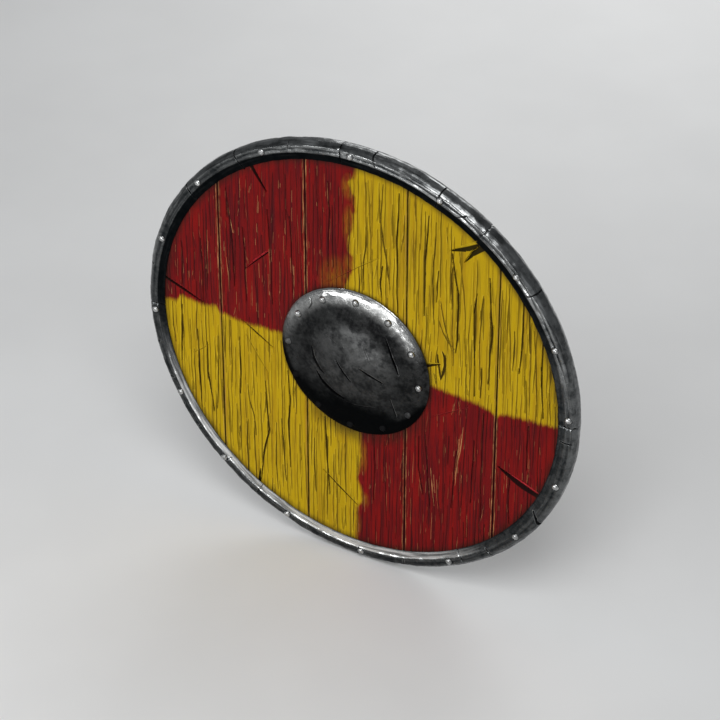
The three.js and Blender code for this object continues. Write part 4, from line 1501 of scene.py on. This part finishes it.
# Painted shade with some grime: darker beside the cracks and the seams.
grime_and_shade = times(between(crack_gap, 1.9, 0.0), times(crack_tone, 0.29))
grime_and_shade = most(grime_and_shade, between(seam_gap, 4.0, 0.6, 0.0, 0.30))
colour = mixed(grime_and_shade, colour, grime_and_shade_brown)
# Painted highlight: a lighter line along the right side of each crack in yellow.
crack_highlight = between(unsigned(minus(crack_gap, 1.0)), 0.9, 0.2)
crack_highlight = times(crack_highlight, between(mask_of("crack_offset"), 0.4, -0.4, 0.15, 0.60))
crack_highlight = times(times(crack_highlight, crack_tone), yellow_here)
crack_highlight = times(crack_highlight, between(flakes, 0.40, 0.56))
colour = mixed(crack_highlight, colour, highlight_on_yellow)
soft = plus(crack_gap, times(minus(flakes, 0.5), 1.0))
crack = times(between(soft, 0.30, -0.30), sums("MULTIPLY_ADD", crack_tone, 0.82, 0.12))
colour = mixed(crack, colour, mixed(yellow_here, crack_in_red, crack_in_yellow))
seam_soft = plus(seam_gap, times(minus(flakes, 0.5), 1.6))
colour = mixed(between(seam_soft, 1.45, 0.55, 0.0, 0.97), colour, seam_dark)
print("nodes with streaks, cracks and seams:", len(tree.nodes))

# %% [markdown]
# A cut's steep side is painted near black as shade, and its long side shows paint that was scraped
# thin, painted lighter as a highlight. The side that a point lies on is one of the carried values.

# %% Cuts and painted shade
cut_gap, cut_side, cut_tone = line_gap("cut"), line_side("cut"), mask_of("cut_tone")
in_cut = times(between(cut_gap, 0.30, -0.30), cut_tone)
# Painted highlight on scraped paint: the long side of a cut is lighter.
scraped_with_highlight = mixed(yellow_here, scraped_red_with_highlight, scraped_yellow_with_highlight)
scraped_with_highlight = mixed(between(fray_fine, 0.42, 0.60, 0.0, 0.5), scraped_with_highlight, colour)
colour = mixed(times(in_cut, between(cut_side, 0.0, 0.25, 0.0, 0.9)), colour, scraped_with_highlight)
# Painted shade: the steep side of a cut is near black.
shade = mixed(yellow_here, cut_shade_red, cut_shade_yellow)
colour = mixed(times(in_cut, between(cut_side, 0.12, -0.12, 0.0, 0.96)), colour, shade)

rim_foot = outer_radius - lip_width
# Painted shade: darker towards the rim's foot and round the boss, and a painted shadow below the boss.
contact_shade = between(from_middle, rim_foot - 0.013, rim_foot + 0.001, 0.0, 0.65)
boss_contact_shade = between(from_middle, boss_radius + 0.009, boss_radius - 0.002, 0.0, 0.7)
below_boss = sums("DIVIDE", minus(times(across, 0.25), upwards), from_middle)
shadow_below_boss = times(between(from_middle, boss_radius + 0.034, boss_radius, 0.0, 0.75),
                between(below_boss, 0.45, 0.95))
boss_contact_shade = most(boss_contact_shade, shadow_below_boss)
contact_shade = times(most(contact_shade, boss_contact_shade), between(patchy, 0.25, 0.6, 0.5, 1.0))
colour = mixed(contact_shade, colour, shade_brown)
print("nodes with cuts and dirt:", len(tree.nodes))

# %% [markdown]
# The paint stops just behind the face: the boards' edges and backs are bare, with the grain of
# the wood group. Below the rim all is painted black as shade, which shows through the joints of
# the rim. Relief follows the same stripes as the colour.

# %% Backs of the boards and relief
grain = add("ShaderNodeGroup", {"Vector": vector_of(across, upwards, deep)}, node_tree=wood_grain).outputs
painted = between(deep, face_y + 7.5 * millimetre, face_y + 5.5 * millimetre)
colour = mixed(painted, grain["Color"], colour)
# Painted shade: black below the rim, which shows through its joints.
colour = mixed(between(from_middle, rim_foot + 0.001, rim_foot + 0.003), colour, shade_under_rim)
give(surface["Base Color"], colour)
rough = plus(0.58, times(stripes, 0.25))
give(surface["Roughness"], rough)
give(surface["Specular IOR Level"], 0.06)
height = plus(times(stripes, 0.6), times(fine_stripes, 0.3))
height = minus(height, times(bare, 0.25))
height = mixed(painted, grain["Height"], height)
give(surface["Normal"], bumped(height, 0.9 * millimetre, 0.5))
for plank in planks:
    dress(plank, board_material)
print("board nodes:", len(tree.nodes), "on planks:", len(planks))

# %% [markdown]
# The rim is dark iron, rubbed along its two ridges and at its outer edge. The bright tone on the
# ridges, on a band near the edge and in streaks between the ridges is painted highlight, strongest
# towards the upper right, and the slope at the lower left carries a painted highlight too. Its inner
# slope is painted near black as shade, most of all along the upper half, and so are its foot, rings
# round its rivets and its marks; its joints are dark. Streaks run round the rim, so their noise
# reads the distance from the axis.

# %% Rim iron
rim_dark = (0.011, 0.0135, 0.015)
rim_bright = (0.42, 0.43, 0.43)
rim_highlight = (0.82, 0.83, 0.83)
rim_grime_and_shade = (0.0012, 0.0018, 0.0022)
rim_material, tree, surface, place = new_material("rim_iron")
across, deep, upwards, from_middle = axes_of(place)
inward = minus(outer_radius, from_middle)
round_place = vector_of(times(across, 18), times(from_middle, 220), times(upwards, 18))
round_streaks = noise_of(round_place, 1.0, 3.0, 0.5, 0.4)
patch = noise_of(place, 30.0, 4.0, 0.6)


def towards(degrees):
    """How much a place lies towards that angle, as seen from the shield's axis: 1 to -1."""
    right = times(across, math.cos(math.radians(degrees)))
    over = times(upwards, math.sin(math.radians(degrees)))
    return sums("DIVIDE", plus(right, over), from_middle)


def ridge_line(value, middle, half_width):
    """One on a line of the section and zero beyond its half width."""
    away = unsigned(minus(value, middle))
    return between(away, half_width, half_width * 0.3)


on_front = between(deep, face_y + 0.006, face_y + 0.002)
wandered = plus(inward, times(minus(patch, 0.5), 0.006))
inner_line = ridge_line(wandered, inner_ridge, 3.6 * millimetre)
outer_line = ridge_line(wandered, outer_ridge - 0.4 * millimetre, 4.2 * millimetre)
edge_line = ridge_line(deep, face_y + 4.6 * millimetre, 2.2 * millimetre)
ridges = most(inner_line, outer_line)
ridges = times(ridges, on_front)
ridges = most(ridges, times(edge_line, 0.6))
# Painted highlight with some wear: ridges, an outer band and streaks between the ridges are lifted, most
# towards the upper right.
wear_and_highlight = times(ridges, between(patch, 0.30, 0.62, 0.25, 1.0))
upper_right = between(towards(62), 0.35, 0.95)
lower_left = between(towards(250), 0.45, 0.90)
on_slope = times(between(inward, 17.0 * millimetre, 19.0 * millimetre), on_front)
wear_and_highlight = times(wear_and_highlight, plus(0.14, times(upper_right, 0.62)))
between_ridges = times(between(inward, 17.5 * millimetre, 13.5 * millimetre), on_front)
outer_band = times(between(inward, 10.5 * millimetre, 7.0 * millimetre),
                  between(towards(80), -0.6, 0.4, 0.12, 0.34))
outer_band = times(outer_band, between(patch, 0.28, 0.66, 0.60, 1.0))
wear_and_highlight = most(wear_and_highlight, outer_band)
wear_and_highlight = most(wear_and_highlight, times(between_ridges, times(upper_right, between(round_streaks, 0.50, 0.66, 0.0, 0.9))))
# Painted highlight: the inner slope at the lower left is brightened.
slope_highlight = times(on_slope, lower_left)
wear_and_highlight = most(wear_and_highlight, times(slope_highlight, between(patch, 0.25, 0.6, 0.55, 1.0)))
mark_gap = mask_of("mark_gap")
lips = between(unsigned(minus(mark_gap, 0.7)), 0.8, 0.2, 0.0, 0.3)
wear_and_highlight = most(wear_and_highlight, times(lips, on_front))
iron = iron_of(rim_dark, rim_bright, wear_and_highlight, 0.11)
# Painted shade: the inner slope is near black, most along the upper half, and so are the foot, rings round
# the rivets and the marks; the joints are dark too.
grime_and_shade = times(on_slope, between(towards(105), -0.12, 0.30, 0.0, 0.96))
foot_shade = between(inward, lip_width - 4.0 * millimetre, lip_width, 0.0, 0.8)
foot_shade = times(foot_shade, on_front)
grime_and_shade = most(grime_and_shade, foot_shade)
rim_rivet_shade = between(mask_of("rivet_gap"), 1.3, 0.2, 0.0, 0.85)
grime_and_shade = most(grime_and_shade, times(rim_rivet_shade, on_front))
grime_and_shade = most(grime_and_shade, between(mark_gap, 0.15, -0.6, 0.0, 0.95))
grime_and_shade = times(grime_and_shade, between(round_streaks, 0.30, 0.50, 0.80, 1.0))
colour = mixed(between(round_streaks, 0.50, 0.34, 0.0, 0.6), iron["Color"], rim_dark)
gleam = times(slope_highlight, between(round_streaks, 0.42, 0.60, 0.15, 1.0))
colour = mixed(gleam, colour, rim_highlight)
colour = mixed(grime_and_shade, colour, rim_grime_and_shade)
give(surface["Base Color"], colour)
rough = plus(iron["Roughness"], times(grime_and_shade, 0.25))
rough = minus(rough, times(wear_and_highlight, 0.14))
give(surface["Roughness"], rough)
give(surface["Metallic"], minus(1.0, times(grime_and_shade, 1.08), clamp=True))
give(surface["Specular IOR Level"], shade_shine)
give(surface["Normal"], bumped(iron["Height"], 0.5 * millimetre, 0.4))
for rim in rim_pieces:
    dress(rim, rim_material)
print("rim nodes:", len(tree.nodes), "on lengths:", len(rim_pieces))

# %% [markdown]
# The boss is darker. Its rolled edge and its outer edge carry a painted highlight where they face
# up, and its middle has been handled to a soft grey. A ring inside the roll is darker. Its lower side
# and rings round its rivets are painted near black as shade, and cuts have floors painted dark as
# shade, most on one side; one side of each cut carries a painted highlight.

# %% Boss iron
boss_dark = (0.008, 0.0085, 0.009)
boss_bright = (0.44, 0.445, 0.44)
boss_dark_and_shade = (0.0016, 0.0018, 0.0020)
scratch_shade_black = (0.0012, 0.0012, 0.0014)
boss_material, tree, surface, place = new_material("boss_iron")
across, deep, upwards, from_middle = axes_of(place)
share = times(from_middle, 1 / boss_radius)
patch = noise_of(place, 24.0, 5.0, 0.62, 0.5)
small_patch = noise_of(place, 75.0, 4.0, 0.6, 0.3)
handled = between(share, 0.66, 0.40, 0.0, 0.070)
# Painted highlight: the roll and the edge are brightened where they face up, and one side of each cut.
upper = between(towards(98), 0.10, 0.80)
roll_highlight = times(between(share, 0.76, 0.98), upper)
roll_highlight = times(roll_highlight, between(small_patch, 0.32, 0.60, 0.75, 1.0))
edge_highlight = times(between(share, 0.975, 0.992), most(upper, 0.04))
wear_and_highlight = most(times(handled, between(patch, 0.35, 0.65, 0.3, 1.0)), most(roll_highlight, edge_highlight))
mark_gap, mark_side, mark_tone = line_gap("mark"), line_side("mark"), mask_of("mark_tone")
lip_highlight = between(unsigned(minus(mark_gap, 0.2)), 1.2, 0.2)
lip_highlight = times(times(lip_highlight, mark_tone), between(mark_side, 0.0, 0.6, 0.0, 0.40))
wear_and_highlight = most(wear_and_highlight, lip_highlight)
iron = iron_of(boss_dark, boss_bright, wear_and_highlight, 0.075)
# A darker ring inside the roll, broken up by patches.
dark_ring = times(between(share, 0.50, 0.62), between(share, 0.84, 0.68))
dark_ring = times(dark_ring, between(patch, 0.35, 0.62, 0.60, 0.15))
# Painted shade: the lower side of the boss and rings round its rivets are near black.
downwards = times(towards(262), share)
downwards = plus(downwards, between(share, 0.84, 1.0, 0.0, 0.38))
downwards = plus(downwards, times(minus(patch, 0.5), 0.50))
lower_side_shade = between(downwards, 0.20, 0.62, 0.0, 0.99)
boss_rivet_shade = between(mask_of("rivet_gap"), 1.2, 0.2, 0.0, 0.7)
darkening_and_shade = most(most(dark_ring, lower_side_shade), boss_rivet_shade)
colour = mixed(darkening_and_shade, iron["Color"], boss_dark_and_shade)
# Painted shade: the floors of cuts are near black, most on one side.
scratch_shade = times(between(mark_gap, 0.75, -0.15, 0.0, 0.98), mark_tone)
scratch_shade = times(scratch_shade, between(mark_side, 0.95, 0.50, 0.35, 1.0))
colour = mixed(scratch_shade, colour, scratch_shade_black)
darkening_and_shade = most(darkening_and_shade, scratch_shade)
give(surface["Base Color"], colour)
dull = plus(times(darkening_and_shade, 0.2), between(share, 0.76, 0.56, 0.0, 0.12))
dull = minus(dull, times(roll_highlight, 0.08))
give(surface["Roughness"], plus(iron["Roughness"], dull))
give(surface["Metallic"], minus(1.0, times(darkening_and_shade, 1.06), clamp=True))
give(surface["Specular IOR Level"], shade_shine)
give(surface["Normal"], bumped(iron["Height"], 0.6 * millimetre, 0.4))
dress(boss, boss_material)
print("boss nodes:", len(tree.nodes))

# %% [markdown]
# Rivets, roves and nails are the brightest iron, since hands and cloth rub them most. The rivets on
# the lower side of the boss are painted near black as shade, like the boss there.

# %% Rivet iron
rivet_dark = (0.080, 0.083, 0.085)
rivet_bright = (0.60, 0.605, 0.60)
rivet_shade = (0.003, 0.003, 0.0034)
rivet_material, tree, surface, place = new_material("rivet_iron")
across, deep, upwards, from_middle = axes_of(place)
iron = iron_of(rivet_dark, rivet_bright, 0.45, 0.35)
# Painted shade: rivets on the lower side of the boss are near black.
on_boss = times(between(from_middle, boss_radius + 0.004, boss_radius),
               between(deep, face_y + 0.006, face_y + 0.002))
darkening_and_shade = times(on_boss, between(towards(255), -0.45, 0.45, 0.0, 0.99))
give(surface["Base Color"], mixed(darkening_and_shade, iron["Color"], rivet_shade))
give(surface["Roughness"], iron["Roughness"])
give(surface["Metallic"], minus(1.0, darkening_and_shade))
give(surface["Specular IOR Level"], shade_shine)
give(surface["Normal"], bumped(iron["Height"], 0.3 * millimetre, 0.5))
for piece in rivets + nails:
    dress(piece, rivet_material)
for number in range(1, 13):
    dress(frame["nodes"][f"boss_rove_{number}"], rivet_material)
print("rivet nodes:", len(tree.nodes), "on rivets and nails:", len(rivets + nails))

# %% [markdown]
# Battens and handle are bare wood, oiled and darkened by hands. Their grain runs along X, so the
# vector that goes to the grain group has its first two axes swapped.

# %% Bare wood
wood_material, tree, surface, place = new_material("bare_wood")
across, deep, upwards, from_middle = axes_of(place)
grain = add("ShaderNodeGroup", {"Vector": vector_of(upwards, across, deep)}, node_tree=wood_grain).outputs
give(surface["Base Color"], grain["Color"])
give(surface["Roughness"], 0.62)
give(surface["Specular IOR Level"], 0.3)
give(surface["Normal"], bumped(grain["Height"], 0.8 * millimetre, 0.6))
for name in ("upper_batten", "lower_batten", "handle_batten"):
    dress(frame["nodes"][name], wood_material)
print("bare wood nodes:", len(tree.nodes))

# %% [markdown]
# The strip is dark leather, polished by the hand. It has pores and fine creases, and each turn is
# painted darkest as shade where it dips under the next one, with a paler worn line on its crest.

# %% Grip leather
leather_material, tree, surface, place = new_material("grip_leather")
pores = add("ShaderNodeTexVoronoi", {"Vector": place, "Scale": 700.0}).outputs["Distance"]
creases = noise_of(place, 420.0, 4.0, 0.65, 0.6)
patch = noise_of(place, 60.0, 4.0)
lap = mask_of("lap")
colour = mixed(between(patch, 0.35, 0.65), (0.060, 0.028, 0.014), (0.125, 0.066, 0.034))
colour = mixed(between(creases, 0.52, 0.36, 0.0, 0.6), colour, (0.022, 0.010, 0.006))
# Painted shade: each turn is darkest where it dips under the next.
colour = mixed(between(lap, 0.82, 0.97, 0.0, 0.7), colour, (0.018, 0.009, 0.006))
colour = mixed(between(unsigned(minus(lap, 0.66)), 0.12, 0.02, 0.0, 0.5), colour, (0.21, 0.125, 0.070))
give(surface["Base Color"], colour)
give(surface["Roughness"], between(patch, 0.3, 0.7, 0.60, 0.42))
height = plus(times(pores, 0.5), times(creases, 0.7))
give(surface["Normal"], bumped(height, 0.4 * millimetre, 0.6))
dress(strip, leather_material)
print("leather nodes:", len(tree.nodes))

# %% [markdown]
# The shield stands on a plain pale floor under soft light: a broad strip low in front for the
# glints on the iron, a narrow one close to the ground, a square one above, a weaker one behind
# that shows the wooden back, and an even sky.

# %% Floor, light and camera
floor_level = cad_low.z
bpy.ops.object.select_all(action="DESELECT")
bpy.ops.mesh.primitive_plane_add(size=60, location=(0, 0, floor_level))
floor = named("floor")
floor_material, tree, surface, place = new_material("floor")
speckle = noise_of(place, 3.0, 3.0)
floor_grey, floor_pale = (0.79, 0.79, 0.785), (0.82, 0.82, 0.815)
give(surface["Base Color"], mixed(between(speckle, 0.3, 0.7), floor_grey, floor_pale))
give(surface["Roughness"], 0.9)
give(surface["Specular IOR Level"], 0.1)
dress(floor, floor_material)
floor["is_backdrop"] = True

world = bpy.data.worlds.new("studio")
world.use_nodes = True
sky = world.node_tree.nodes["Background"].inputs
sky["Color"].default_value = (0.94, 0.97, 1.0, 1)
sky["Strength"].default_value = 0.28
bpy.context.scene.world = world


def soft_box(name, place, width, height, watts, spread=180):
    bpy.ops.object.light_add(type="AREA", location=place)
    lamp = bpy.context.object
    lamp.name = name
    lamp.data.shape = "RECTANGLE"
    lamp.data.size = width
    lamp.data.size_y = height
    lamp.data.energy = watts
    lamp.data.spread = math.radians(spread)
    lamp.rotation_euler = (Vector((0, 0, 0)) - Vector(place)).to_track_quat("-Z", "Y").to_euler()


soft_box("key", (-0.75, -2.30, 0.35), 2.2, 0.45, 12, spread=120)
soft_box("low", (-0.20, -1.50, -0.26), 1.0, 0.10, 1.0, spread=100)
soft_box("top", (0.80, -1.60, 2.60), 1.6, 1.6, 42)
soft_box("behind", (-0.60, 2.60, 1.20), 2.0, 1.2, 26)

azimuth, elevation = math.radians(29.75), math.radians(35.03)
distance = 11.63 * outer_radius
aim = Vector((0.0201 * outer_radius, face_y, 0.0146 * outer_radius))
film_width = 36
focal_share = 2863 / 720
level = math.cos(elevation)
back = Vector((math.sin(azimuth) * level, -math.cos(azimuth) * level, math.sin(elevation)))
turn = (-back).to_track_quat("-Z", "Y").to_euler()
bpy.ops.object.camera_add(location=aim + back * distance, rotation=turn)
camera = bpy.context.object
camera.data.sensor_width = film_width
camera.data.lens = film_width * focal_share
camera.data.clip_end = 100
bpy.context.scene.camera = camera
bpy.context.scene.view_settings.view_transform = "Standard"
print("lens", round(camera.data.lens, 1), "distance", round(distance, 2))

# %% Sizes and finish
low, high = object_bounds()
print("cad", [round(v, 4) for v in (*cad_low, *cad_high)], "visual", [round(v, 4) for v in (*low, *high)])
